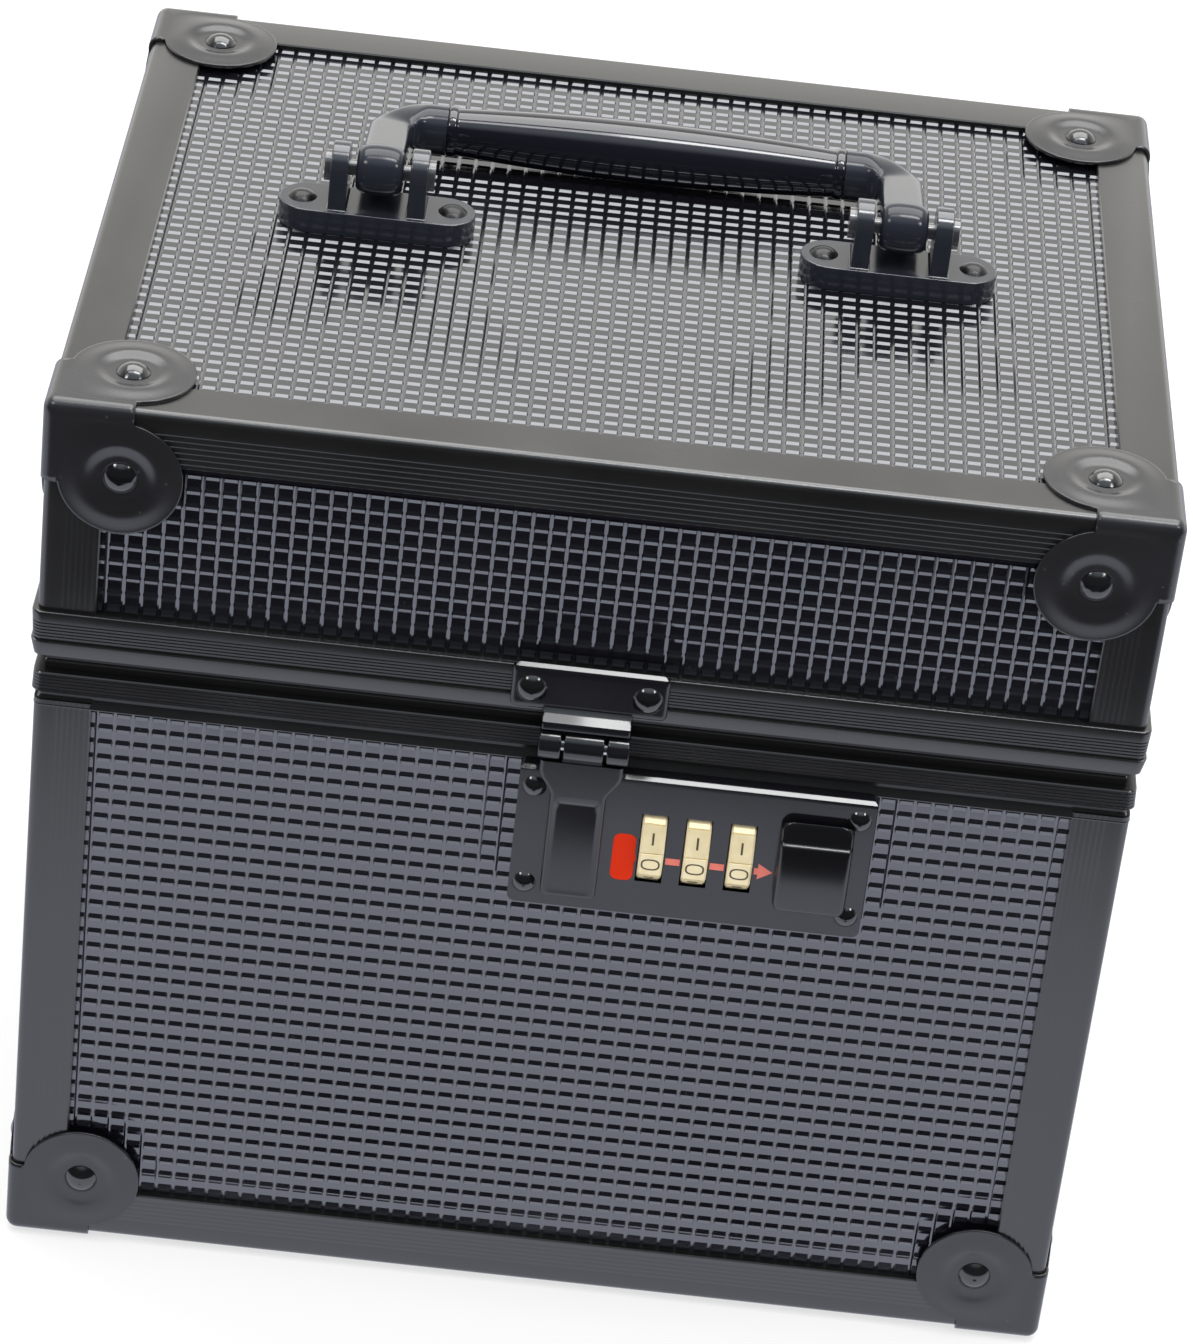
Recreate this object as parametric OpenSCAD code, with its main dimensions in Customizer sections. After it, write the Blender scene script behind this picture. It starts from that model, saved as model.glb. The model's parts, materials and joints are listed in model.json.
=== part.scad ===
// Lockable carry box: panelled case in corner extrusions, with a hinged lid,
// a fold-down bail handle and a three-dial combination lock with a hasp.
// Millimetres, +Z up, front towards -Y, origin at the bottom centre of the box.

/* [Case] */
// Width over the frame extrusions
case_w = 197; // [185:1:240]
// Depth over the frame extrusions
case_d = 162; // [150:1:200]
// Height over the frame extrusions
case_h = 180.5; // [172:0.5:200]
// Height of the base, from the underside of its frame to the parting line
base_h = 127.5; // [122:0.5:135]

/* [Frame extrusions] */
// Width of one leg of a corner extrusion
leg_w = 10.4; // [9:0.1:11]
// Thickness of the outer leg, which is also how deep the panels lie
leg_t = 1.5; // [1.2:0.1:2]
// Thickness of the inner lip behind a panel
lip_t = 1; // [0.8:0.1:1.2]
// Radius of the outer edge of an extrusion
edge_r = 1.5; // [0.8:0.1:1.5]

/* [Panels and lining] */
// Thickness of a panel
panel_t = 3; // [2.6:0.1:3.4]
// Clearance of a panel in its slot
panel_gap = 0.2; // [0.1:0.05:0.3]
// Thickness of the lining
lining_t = 2; // [1.5:0.1:3]
// Clearance between the lining and the extrusions
lining_gap = 0.1; // [0.05:0.05:0.3]

/* [Rims] */
// How far the base rim stands out of the frame
base_rim_proud = 0.5; // [0.3:0.1:0.8]
// How far the lid rim stands out of the frame
lid_rim_proud = 1; // [0.8:0.1:1.2]
// Outer corner radius of both rims
rim_r = 2; // [1:0.1:2.5]
// Gap between the two rims at the parting line
parting_gap = 0.3; // [0.2:0.05:0.4]
// Height of the closing tongue above the parting line
tongue_h = 3.2; // [2:0.1:3.4]
// Thickness of the closing tongue
tongue_t = 1.2; // [1:0.1:1.4]
// Clearance on each side of the tongue
tongue_gap = 0.4; // [0.35:0.05:0.5]

/* [Corner caps] */
// Sheet thickness of a corner cap
cap_t = 0.7; // [0.6:0.1:1]
// Height of the raised ring on a cap face
cap_ring_h = 0.5; // [0.3:0.1:0.8]
// Radius of the round lobe on a cap face
cap_r = 11; // [10:0.1:12]
// Distance of a cap rivet from the two nearest frame faces
cap_inset = 13.3; // [13.2:0.1:14.5]
// Length of the strip along a bend
cap_strip_l = 15.2; // [14:0.1:17]
// Width of the strip along a bend
cap_strip_w = 3.3; // [2.5:0.1:4]
// Radius of a cap rivet's head
rivet_r = 3; // [2.6:0.1:3.2]
// Height of a cap rivet's dome
rivet_h = 1.5; // [1:0.1:1.8]
// Radius of a cap rivet's shank
rivet_shank_r = 1.5; // [1.2:0.1:1.8]

/* [Handle] */
// Distance between the centres of the two brackets
bracket_pitch = 97.2; // [90:0.2:110]
// Length of a bracket's foot
foot_l = 36.6; // [35:0.1:40]
// Depth of a bracket's foot
foot_d = 11.4; // [10:0.1:12]
// Thickness of a bracket's foot
foot_t = 4.7; // [4:0.1:6]
// Distance between the two screws of a bracket
foot_screw_pitch = 28; // [27:0.2:29]
// Radius of a bracket screw's head
foot_screw_r = 2.7; // [2.3:0.1:2.9]
// Thickness of one ear
ear_t = 3.3; // [3:0.1:3.6]
// Radius of an ear's round top
ear_r = 4.7; // [4.2:0.1:5]
// Gap between an ear and the eye of the bail
ear_gap = 1.75; // [0.8:0.05:1.8]
// Distance of the handle's pivot behind the middle of the lid
pivot_back = 0.6; // [-5:0.1:10]
// Height of the pivot above the lid panel
pivot_h = 11.6; // [11.5:0.1:14]
// Radius of the pivot pin
pivot_pin_r = 1.5; // [1.2:0.1:2]
// Width of the flat bail bar, and of its eye
bail_w = 7.9; // [7:0.1:9]
// Thickness of the flat bail bar
bail_t = 4.6; // [4:0.1:5]
// Radius of the eye at each end of the bail
eye_r = 4.8; // [4.2:0.1:5]
// Distance from the pivot to the middle of the grip
bail_reach = 31; // [30:0.2:40]
// Outer radius of the bail's corners
bail_corner_r = 11; // [10:0.5:13]
// Half length of the grip between its collars
grip_half_l = 38; // [35:0.2:39]
// Radius of the grip at its ends
grip_end_r = 4.5; // [4.2:0.1:5]
// Radius of the grip in the middle
grip_mid_r = 5.8; // [5.3:0.1:6.4]
// Gap between the folded grip and the lid panel
grip_rest_gap = 0.3; // [0.3:0.1:1]

/* [Lock] */
// Lowest corner of the lock plate along X
plate_x0 = -10.8; // [-14:0.2:-9]
// Length of the lock plate
plate_l = 64.1; // [64:0.1:70]
// Height of the lock plate
plate_h = 29.4; // [29:0.1:34]
// Thickness of the lock plate over the panel
plate_t = 4.5; // [4.3:0.1:5]
// Distance from the parting line down to the lock plate's middle
plate_drop = 23.1; // [22.5:0.1:26]
// Distance of a plate rivet from the plate's short edge
plate_rivet_inset = 2.8; // [2.6:0.1:2.9]
// Distance of a plate rivet from the plate's long edge
plate_rivet_edge = 4.3; // [3.8:0.1:4.6]
// Radius of a plate rivet's head
plate_rivet_r = 2.2; // [1.9:0.1:2.3]
// Distance between two dials
dial_pitch = 8; // [7.5:0.1:8.4]
// Width of a dial
dial_w = 4.4; // [4:0.1:4.8]
// Radius of a dial over its ten corners
dial_r = 8.8; // [8.4:0.1:8.9]
// How far a dial stands out of the lock plate
dial_proud = 3.3; // [3:0.1:3.6]
// Radius of the dial shaft
shaft_r = 2; // [1.5:0.1:2.5]
// Width of the release button
button_w = 13.2; // [12:0.1:14]
// Height of the release button
button_h = 18.4; // [17:0.1:19]
// How far the button's ridge stands out of the lock plate
button_proud = 5; // [4:0.1:6]
// Travel of the release button
button_travel = 3.5; // [2.5:0.1:3.5]
// Wall of the lock's rear cover
cover_t = 1.2; // [1:0.1:1.5]

/* [Hasp] */
// Width of the keeper plate on the lid rim
keeper_w = 28; // [26:0.5:34]
// Height of the keeper plate
keeper_h = 9; // [8.5:0.1:10]
// Thickness of the keeper plate
keeper_t = 1.2; // [1:0.1:1.5]
// Distance between the keeper's two rivets
keeper_rivet_pitch = 20.6; // [20:0.2:22]
// Radius of the hasp's knuckles
hasp_knuckle_r = 2.8; // [2.5:0.1:3]
// Radius of the hasp pin
hasp_pin_r = 1.25; // [1:0.05:1.4]
// Distance from the parting line down to the hasp pin
hasp_pin_drop = 2.7; // [2.5:0.1:3]
// Half width of the hasp's middle knuckle
hasp_knuckle_half_w = 3.55; // [3:0.05:3.6]
// Half width of the hasp's upper part
hasp_top_half_w = 7.5; // [6.5:0.1:8]
// Half width of the hasp's lower part
hasp_half_w = 5.05; // [4.5:0.05:5.5]
// Distance from the hasp pin down to the hasp's lower end
hasp_l = 32.1; // [31:0.1:34]
// Thickness of the hasp
hasp_t = 1.6; // [1.2:0.1:2]

/* [Hinges] */
// Distance between the centres of the two hinges
hinge_pitch = 110; // [90:1:130]
// Width of a hinge
hinge_w = 24; // [22:0.5:34]
// Radius of a hinge's knuckles
hinge_knuckle_r = 2.8; // [2.5:0.1:3]
// Radius of a hinge pin
hinge_pin_r = 1.5; // [1.2:0.1:1.7]
// Thickness of a hinge leaf
hinge_leaf_t = 1.2; // [1:0.1:1.5]
// Height of the lower hinge leaf on the back panel
hinge_leaf_h = 14.8; // [13:0.1:18]

/* [Clearances] */
// Running clearance of a pin or shaft, in radius
running_gap = 0.05; // [0.02:0.01:0.08]
// Clearance of a fixed pin, rivet or screw in its hole, in radius
fixed_gap = 0.02; // [0.01:0.01:0.04]
// Clearance between pieces that move past each other
moving_gap = 0.3; // [0.25:0.05:0.35]

/* [Hidden] */
$fn = 64;
eps = 0.01;

// Small fasteners
small_shank_r = 1.2;
small_head_h = 1.2;
small_tail_r = 2;
tail_t = 0.9;
cap_tail_r = 2.4;
hinge_rivet_r = 2.4;
keeper_rivet_r = 2.8;
keeper_rivet_h = 1.5;
foot_shank_r = 1.5;
rim_rivet_l = 2;
cover_screw_r = 1;
cover_screw_head_r = 2;
cover_screw_l = 7.5;
nut_t = 1.2;
nut_r = 3;

// Levels
frame_z = cap_t + cap_ring_h;
parting_z = frame_z + base_h;
top_z = frame_z + case_h;

// Layers of a wall, measured inwards from the frame's outer face
slot_t = panel_t + panel_gap;
lip_u = leg_t + slot_t;
core_u = lip_u + lip_t;
panel_u = core_u + panel_gap / 2;
lining_u = core_u + lining_gap;
inside_u = lining_u + lining_t;

// Rim heights, measured from the parting line
land = parting_gap / 2;
base_rim_h = 7.7;
base_band_top = 1.8;
base_band_h = 4;
base_slot_top = 3.7;
lid_rim_h = 11.2;
lid_band_bottom = 1.8;
lid_slot_bottom = 5;
lid_lip_h = 9;
rim_recess_u = 1.7;
tongue_u = 3.1;

// Handle
panel_top_z = top_z - leg_t;
pivot_z = panel_top_z + pivot_h;
bail_drop = asin((pivot_h - grip_mid_r - grip_rest_gap) / bail_reach);
ear_in = bail_w / 2 + ear_gap;
ear_out = ear_in + ear_t;
pin_head_t = 1.2;
pin_head_r = 2.9;

// Lock
front_y = -case_d / 2;
panel_y = front_y + leg_t;
plate_y = panel_y - plate_t;
plate_z = parting_z - plate_drop;
plate_x1 = plate_x0 + plate_l;
plate_mid_x = plate_x0 + plate_l / 2;
dial_axis_y = plate_y - dial_proud + dial_r;
dial_axis_z = plate_z - 0.2;
dial_mid_x = 22.2;
dial_turn = 10;
dial_window_w = dial_w + 0.4;
dial_window_r = dial_r + moving_gap;
button_x0 = plate_x1 - plate_rivet_inset - button_w - 0.6;
button_z = plate_z + 0.6;
neck_x0 = button_x0 + 3;
neck_w = 3.5;
neck_h = 6;
cover_x0 = -5;
cover_x1 = neck_x0 + neck_w + button_travel + moving_gap + cover_t;
cover_z0 = plate_z - 12.2;
cover_z1 = plate_z + 11.4;
cover_y = dial_axis_y + dial_r + 0.4 + cover_t;
bolt_z = cover_z0 + cover_t + 0.3;
bolt_h = 1.5;
bolt_y = panel_y + moving_gap;
bolt_t = 2.5;
bolt_tip_z = dial_axis_z - 1.5;
bolt_tip_h = 3;
catch_half_w = 2;
catch_z = dial_axis_z - 2.5;
catch_h = 5;
catch_t = 2.1;
channel_half_w = catch_half_w + 0.6;
channel_d = catch_t + moving_gap - 0.1;
bolt_tip_x = catch_half_w + 0.4;
boss_r = 2;
cover_boss = [[-1.2, plate_z], [neck_x0 - 1.6, plate_z + 7.8]];

// Hasp
rim_front_y = front_y - lid_rim_proud;
hasp_y = front_y - base_rim_proud - moving_gap - hasp_knuckle_r;
hasp_z = parting_z - hasp_pin_drop;
keeper_z0 = parting_z + 3.1;
keeper_tab_half_w = 7.9;
keeper_knuckle_w = 4;
hasp_leaf_y = plate_y - moving_gap;
hasp_leaf_top = hasp_z - hasp_knuckle_r - 0.4;

// Hinges
rim_back_y = case_d / 2 + lid_rim_proud;
hinge_y = rim_back_y + moving_gap + hinge_knuckle_r;
hinge_mid_half_w = 3.9;
hinge_leaf_start = hinge_knuckle_r + 0.4;

// The overall box is centred on Y between the button and the hinge barrels
front_reach = button_proud - plate_y;
back_reach = hinge_y + hinge_knuckle_r;
case_y = (front_reach - back_reach) / 2;

// ---------- shared shapes ----------

// Rectangle centred on the origin with round corners
module round_rect(w, d, r) {
    square([w - 2 * r, d], center = true);
    square([w, d - 2 * r], center = true);
    for (sx = [-1, 1], sy = [-1, 1])
        translate([sx * (w / 2 - r), sy * (d / 2 - r)]) circle(r);
}

// Box from corner a to corner b
module span(a, b) {
    translate(a) cube(b - a);
}

// Four mitred lengths of the child section around a w by d rectangle.
// In the section X is the distance inwards and Y the height.
module mitred_ring(w, d, z0, z1, proud, r) {
    intersection() {
        for (turn = [0, 180]) rotate([0, 0, turn]) {
            translate([-w / 2, -d / 2, 0]) mitred_length(w, z0, z1) children();
            translate([w / 2, -d / 2, 0]) rotate([0, 0, 90]) mitred_length(d, z0, z1) children();
        }
        translate([0, 0, z0 - 1]) linear_extrude(z1 - z0 + 2)
            round_rect(w + 2 * proud, d + 2 * proud, r);
    }
}

// One length of the child section, cut at 45 degrees at both ends
module mitred_length(l, z0, z1) {
    reach = 30;
    intersection() {
        translate([-reach, 0, 0]) rotate([90, 0, 90]) linear_extrude(l + 2 * reach) children();
        translate([0, 0, z0 - 1]) linear_extrude(z1 - z0 + 2)
            polygon([[-reach, -reach], [l + reach, -reach], [l - reach, reach], [reach, reach]]);
    }
}

// Corner extrusion: two outer legs, two inner lips and the core between the slots
module corner_section() {
    difference() {
        union() {
            square([leg_w, leg_t]);
            square([leg_t, leg_w]);
            square([core_u, core_u]);
            translate([0, lip_u]) square([leg_w, lip_t]);
            translate([lip_u, 0]) square([lip_t, leg_w]);
        }
        difference() {
            translate([-1, -1]) square(edge_r + 1);
            translate([edge_r, edge_r]) circle(edge_r);
        }
    }
}

// The child at the four vertical corners of the case, X and Y pointing inwards
module at_corners() {
    for (sx = [-1, 1], sy = [-1, 1])
        translate([sx * case_w / 2, sy * case_d / 2, 0])
            mirror([sx > 0 ? 1 : 0, 0, 0]) mirror([0, sy > 0 ? 1 : 0, 0]) children();
}

// The child on the three faces of a corner, with local Z pointing outwards
module on_three_faces() {
    mirror([0, 0, 1]) children();
    rotate([90, 0, 0]) children();
    mirror([1, 0, 0]) rotate([90, 0, 90]) children();
}

// Round-headed rivet or screw, its head standing on z = 0, shank downwards
module dome_fastener(head_r, head_h, shank_r, shank_l) {
    dome_r = (head_r * head_r + head_h * head_h) / (2 * head_h);
    intersection() {
        translate([0, 0, head_h - dome_r]) sphere(dome_r);
        cylinder(r = head_r, h = head_h);
    }
    translate([0, 0, -shank_l]) cylinder(r = shank_r, h = shank_l + eps);
}

// Cap rivet on a cap face; the shank ends in a tail behind the panel
module cap_rivet(low) {
    seat = cap_t - 0.2;
    translate([cap_inset, cap_inset, seat]) {
        if (low) {
            cylinder(r = rivet_r, h = 0.5);
            translate([0, 0, -seat - leg_t - panel_t])
                cylinder(r = rivet_shank_r, h = seat + leg_t + panel_t + eps);
        } else
            dome_fastener(rivet_r, rivet_h, rivet_shank_r, seat + leg_t + panel_t);
        translate([0, 0, -seat - leg_t - panel_t - tail_t]) cylinder(r = cap_tail_r, h = tail_t);
    }
}

// Holes for the rivets of one corner
module cap_rivet_holes() {
    on_three_faces() translate([cap_inset, cap_inset, -leg_t - panel_t - 1])
        cylinder(r = rivet_shank_r + fixed_gap, h = leg_t + panel_t + 4);
}

// Corner cap seen from its corner, X, Y and Z pointing inwards
module corner_cap() {
    difference() {
        intersection() {
            on_three_faces() linear_extrude(cap_t) cap_outline();
            cap_edge_block();
        }
        on_three_faces() translate([cap_inset, cap_inset, cap_t - 0.2]) cylinder(r = 4.4, h = 2);
        cap_rivet_holes();
    }
    on_three_faces() translate([cap_inset, cap_inset, cap_t])
        linear_extrude(cap_ring_h) ring_2d(8.3, cap_r);
    on_three_faces() translate([cap_inset, cap_inset, cap_t]) linear_extrude(0.35) ring_2d(4.8, 6.6);
}

module ring_2d(r0, r1) {
    difference() {
        circle(r1);
        circle(r0);
    }
}

module cap_outline() {
    translate([-cap_t, -cap_t]) {
        square([cap_strip_l + cap_t, cap_strip_w + cap_t]);
        square([cap_strip_w + cap_t, cap_strip_l + cap_t]);
        square(cap_inset + cap_t);
    }
    translate([cap_inset, cap_inset]) circle(cap_r);
}

// Block that rounds the three outer edges of a cap
module cap_edge_block() {
    r = edge_r + cap_t;
    size = 40;
    intersection() {
        translate([0, 0, -cap_t]) linear_extrude(size) rounded_quadrant(size, r);
        translate([0, size - cap_t, 0]) rotate([90, 0, 0]) linear_extrude(size) rounded_quadrant(size, r);
        translate([-cap_t, 0, 0]) rotate([90, 0, 90]) linear_extrude(size) rounded_quadrant(size, r);
    }
}

module rounded_quadrant(size, r) {
    difference() {
        translate([-cap_t, -cap_t]) square(size);
        difference() {
            translate([-cap_t - 1, -cap_t - 1]) square(r + 1);
            translate([r - cap_t, r - cap_t]) circle(r);
        }
    }
}

// ---------- base ----------

base_panel_z0 = frame_z + panel_u;
base_panel_z1 = parting_z - base_slot_top - panel_gap / 2;
side_half_w = case_w / 2 - panel_u;
side_half_d = case_d / 2 - panel_u;
black = [0.1, 0.1, 0.11];

module base_front_panel() {
    color(black) difference() {
        span([-side_half_w, panel_y, base_panel_z0], [side_half_w, panel_y + panel_t, base_panel_z1]);
        span([cover_x0 - 0.2, panel_y - 1, cover_z0 - 0.2],
             [cover_x1 + 0.2, panel_y + panel_t + 1, cover_z1 + 0.2]);
        translate([0, 0, frame_z]) at_corners() cap_rivet_holes();
        plate_rivet_places() rotate([90, 0, 0]) translate([0, 0, -20])
            cylinder(r = small_shank_r + fixed_gap, h = 40);
    }
}

module base_back_panel() {
    color(black) difference() {
        span([-side_half_w, -panel_y - panel_t, base_panel_z0], [side_half_w, -panel_y, base_panel_z1]);
        translate([0, 0, frame_z]) at_corners() cap_rivet_holes();
        hinge_base_rivet_places() rotate([90, 0, 0])
            cylinder(r = small_shank_r + fixed_gap, h = 20, center = true);
    }
}

module base_side_panels() {
    color(black) for (s = [0, 1]) mirror([s, 0, 0]) difference() {
        span([-case_w / 2 + leg_t, -side_half_d, base_panel_z0],
             [-case_w / 2 + leg_t + panel_t, side_half_d, base_panel_z1]);
        translate([0, 0, frame_z]) at_corners() cap_rivet_holes();
    }
}

module base_bottom_panel() {
    color(black) difference() {
        span([-side_half_w, -side_half_d, frame_z + leg_t],
             [side_half_w, side_half_d, frame_z + leg_t + panel_t]);
        translate([0, 0, frame_z]) at_corners() cap_rivet_holes();
    }
}

module base_bottom_frame() {
    color([0.2, 0.2, 0.21]) translate([0, 0, frame_z])
        mitred_ring(case_w, case_d, 0, leg_w, 0, edge_r) corner_section();
}

module base_corner_posts() {
    color([0.2, 0.2, 0.21]) at_corners() translate([0, 0, frame_z + leg_w])
        linear_extrude(base_h - base_rim_h - leg_w) corner_section();
}

module base_rim_section() {
    translate([-base_rim_proud, -base_band_top - base_band_h])
        square([leg_t + base_rim_proud, base_band_h]);
    translate([leg_t - 0.8, -base_rim_h]) square([0.8, base_rim_h - base_slot_top]);
    translate([0, -base_slot_top]) square([core_u, base_slot_top - base_band_top]);
    translate([rim_recess_u, -base_slot_top]) square([core_u - rim_recess_u, base_slot_top - land]);
    translate([lip_u, -base_rim_h]) square([lip_t, base_rim_h - base_slot_top]);
}

module base_rim() {
    color([0.15, 0.15, 0.16]) translate([0, 0, parting_z]) {
        mitred_ring(case_w, case_d, -base_rim_h, 0, base_rim_proud, rim_r) base_rim_section();
        intersection() {
            mitred_ring(case_w, case_d, -1, tongue_h, base_rim_proud, rim_r)
                translate([tongue_u, -land - 0.5]) square([tongue_t, tongue_h + land + 0.5]);
            span([-case_w, -case_d, -2], [case_w, case_d / 2 - 16, tongue_h + 1]);
        }
    }
}

module base_corner_caps() {
    color([0.16, 0.16, 0.17]) translate([0, 0, frame_z]) at_corners() corner_cap();
}

module base_cap_rivets() {
    color([0.1, 0.1, 0.1]) translate([0, 0, frame_z]) at_corners() {
        mirror([0, 0, 1]) cap_rivet(true);
        rotate([90, 0, 0]) cap_rivet(false);
        mirror([1, 0, 0]) rotate([90, 0, 90]) cap_rivet(false);
    }
}

module base_lining() {
    color([0.2, 0.2, 0.22]) difference() {
        span([-case_w / 2 + lining_u, -case_d / 2 + lining_u, frame_z + lining_u],
             [case_w / 2 - lining_u, case_d / 2 - lining_u, parting_z - 0.5]);
        span([-case_w / 2 + inside_u, -case_d / 2 + inside_u, frame_z + inside_u],
             [case_w / 2 - inside_u, case_d / 2 - inside_u, parting_z + 1]);
        span([cover_x0 - 0.3, front_y, cover_z0 - 0.3], [cover_x1 + 0.3, cover_y, cover_z1 + 0.3]);
    }
}

// ---------- lid ----------

lid_panel_z0 = parting_z + lid_slot_bottom + panel_gap / 2;
lid_panel_z1 = top_z - panel_u;

module lid_top_panel() {
    color(black) difference() {
        span([-side_half_w, -side_half_d, panel_top_z - panel_t], [side_half_w, side_half_d, panel_top_z]);
        translate([0, 0, top_z]) mirror([0, 0, 1]) at_corners() cap_rivet_holes();
        bracket_places() foot_screw_places() translate([0, 0, -panel_t - 1])
            cylinder(r = foot_shank_r + fixed_gap, h = panel_t + 2);
    }
}

module lid_front_panel() {
    color(black) lid_wall_panel();
}

module lid_back_panel() {
    color(black) mirror([0, 1, 0]) lid_wall_panel();
}

module lid_wall_panel() {
    difference() {
        span([-side_half_w, panel_y, lid_panel_z0], [side_half_w, panel_y + panel_t, lid_panel_z1]);
        translate([0, 0, top_z]) mirror([0, 0, 1]) at_corners() cap_rivet_holes();
    }
}

module lid_side_panels() {
    color(black) for (s = [0, 1]) mirror([s, 0, 0]) difference() {
        span([-case_w / 2 + leg_t, -side_half_d, lid_panel_z0],
             [-case_w / 2 + leg_t + panel_t, side_half_d, lid_panel_z1]);
        translate([0, 0, top_z]) mirror([0, 0, 1]) at_corners() cap_rivet_holes();
    }
}

module lid_top_frame() {
    color([0.2, 0.2, 0.21]) translate([0, 0, top_z]) mirror([0, 0, 1])
        mitred_ring(case_w, case_d, 0, leg_w, 0, edge_r) corner_section();
}

module lid_corner_posts() {
    color([0.2, 0.2, 0.21]) at_corners() translate([0, 0, parting_z + lid_rim_h])
        linear_extrude(case_h - base_h - lid_rim_h - leg_w) corner_section();
}

module lid_rim_section() {
    groove_u0 = tongue_u - tongue_gap;
    groove_u1 = tongue_u + tongue_t + tongue_gap;
    groove_top = tongue_h + tongue_gap + 0.2;
    line_z = lid_band_bottom + 3.3;
    polygon([
        [rim_recess_u, land], [rim_recess_u, lid_band_bottom], [0.7 - lid_rim_proud, lid_band_bottom],
        [-lid_rim_proud, line_z], [0.3 - lid_rim_proud, line_z], [0.3 - lid_rim_proud, line_z + 0.6],
        [-lid_rim_proud, line_z + 0.6], [-lid_rim_proud, lid_rim_h - 1.9],
        [0.4 - lid_rim_proud, lid_rim_h], [leg_t, lid_rim_h],
        [leg_t, lid_slot_bottom], [lip_u, lid_slot_bottom], [lip_u, lid_lip_h], [core_u, lid_lip_h],
        [core_u, land], [groove_u1, land], [groove_u1, groove_top], [groove_u0, groove_top],
        [groove_u0, land]
    ]);
}

module lid_rim() {
    color([0.17, 0.17, 0.18]) difference() {
        translate([0, 0, parting_z])
            mitred_ring(case_w, case_d, 0, lid_rim_h, lid_rim_proud, rim_r) lid_rim_section();
        keeper_rivet_places() rotate([90, 0, 0]) rim_rivet_hole();
        hinge_lid_rivet_places() rotate([-90, 0, 0]) rim_rivet_hole();
    }
}

// Blind hole for a rivet set in the rim's wall
module rim_rivet_hole() {
    translate([0, 0, -keeper_t - rim_rivet_l])
        cylinder(r = small_shank_r + fixed_gap, h = keeper_t + rim_rivet_l + 1);
}

module lid_corner_caps() {
    color([0.16, 0.16, 0.17]) translate([0, 0, top_z]) mirror([0, 0, 1]) at_corners() corner_cap();
}

module lid_cap_rivets() {
    color([0.1, 0.1, 0.1]) translate([0, 0, top_z]) mirror([0, 0, 1]) at_corners()
        on_three_faces() cap_rivet(false);
}

module lid_lining() {
    color([0.2, 0.2, 0.22]) difference() {
        span([-case_w / 2 + lining_u, -case_d / 2 + lining_u, parting_z + 0.5],
             [case_w / 2 - lining_u, case_d / 2 - lining_u, top_z - lining_u]);
        span([-case_w / 2 + inside_u, -case_d / 2 + inside_u, parting_z - 1],
             [case_w / 2 - inside_u, case_d / 2 - inside_u, top_z - inside_u]);
    }
}

// ---------- handle ----------

module bracket_places() {
    for (s = [-1, 1]) translate([s * bracket_pitch / 2, pivot_back, panel_top_z]) children();
}

module foot_screw_places() {
    for (s = [-1, 1]) translate([s * foot_screw_pitch / 2, 0, 0]) children();
}

module handle_brackets() {
    color([0.15, 0.15, 0.17]) bracket_places() difference() {
        union() {
            linear_extrude(foot_t) round_rect(foot_l, foot_d, foot_d / 2 - eps);
            for (s = [-1, 1]) translate([s * (ear_in + ear_t / 2) - ear_t / 2, 0, 0])
                rotate([90, 0, 90]) linear_extrude(ear_t) {
                    translate([-ear_r, foot_t / 2]) square([2 * ear_r, pivot_h - foot_t / 2]);
                    translate([0, pivot_h]) circle(ear_r);
                }
        }
        translate([0, 0, pivot_h]) rotate([0, 90, 0])
            cylinder(r = pivot_pin_r + fixed_gap, h = 2 * ear_out + 2, center = true);
        foot_screw_places() translate([0, 0, -1]) cylinder(r = foot_shank_r + fixed_gap, h = foot_t + 2);
    }
}

module bracket_screws() {
    color([0.12, 0.12, 0.13]) bracket_places() foot_screw_places() translate([0, 0, foot_t])
        dome_fastener(foot_screw_r, small_head_h, foot_shank_r, foot_t + panel_t + nut_t);
}

module bracket_nuts() {
    color([0.6, 0.6, 0.62]) bracket_places() foot_screw_places() translate([0, 0, -panel_t - nut_t])
        difference() {
            cylinder(r = nut_r, h = nut_t, $fn = 6);
            translate([0, 0, -1]) cylinder(r = foot_shank_r + fixed_gap, h = nut_t + 2, $fn = 64);
        }
}

module handle_pins() {
    color([0.75, 0.75, 0.75]) bracket_places() translate([0, 0, pivot_h]) rotate([0, 90, 0]) {
        cylinder(r = pivot_pin_r, h = 2 * ear_out, center = true);
        for (s = [0, 1]) mirror([0, 0, s]) translate([0, 0, ear_out])
            cylinder(r = pin_head_r, h = pin_head_t);
    }
}

// Local frame of the bail: origin on the pivot line, Y along the arms
module bail_frame() {
    translate([0, pivot_back, pivot_z]) rotate([-bail_drop, 0, 0]) children();
}

module bail_outline() {
    half_w = bracket_pitch / 2 + bail_w / 2;
    in_half_w = half_w - bail_w;
    depth = bail_reach + bail_w / 2;
    in_r = bail_corner_r - bail_w;
    difference() {
        union() {
            translate([-half_w, 0]) square([2 * half_w, depth - bail_corner_r]);
            translate([-half_w + bail_corner_r, 0]) square([2 * (half_w - bail_corner_r), depth]);
            for (s = [-1, 1]) translate([s * (half_w - bail_corner_r), depth - bail_corner_r])
                circle(bail_corner_r);
        }
        translate([-in_half_w, -1]) square([2 * in_half_w, depth - bail_w - in_r + 1]);
        translate([-in_half_w + in_r, -1]) square([2 * (in_half_w - in_r), depth - bail_w + 1]);
        for (s = [-1, 1]) translate([s * (in_half_w - in_r), depth - bail_w - in_r]) circle(in_r);
        translate([-grip_half_l, depth - bail_w - 1]) square([2 * grip_half_l, bail_w + 2]);
    }
}

core_r = 2.5;

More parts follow.
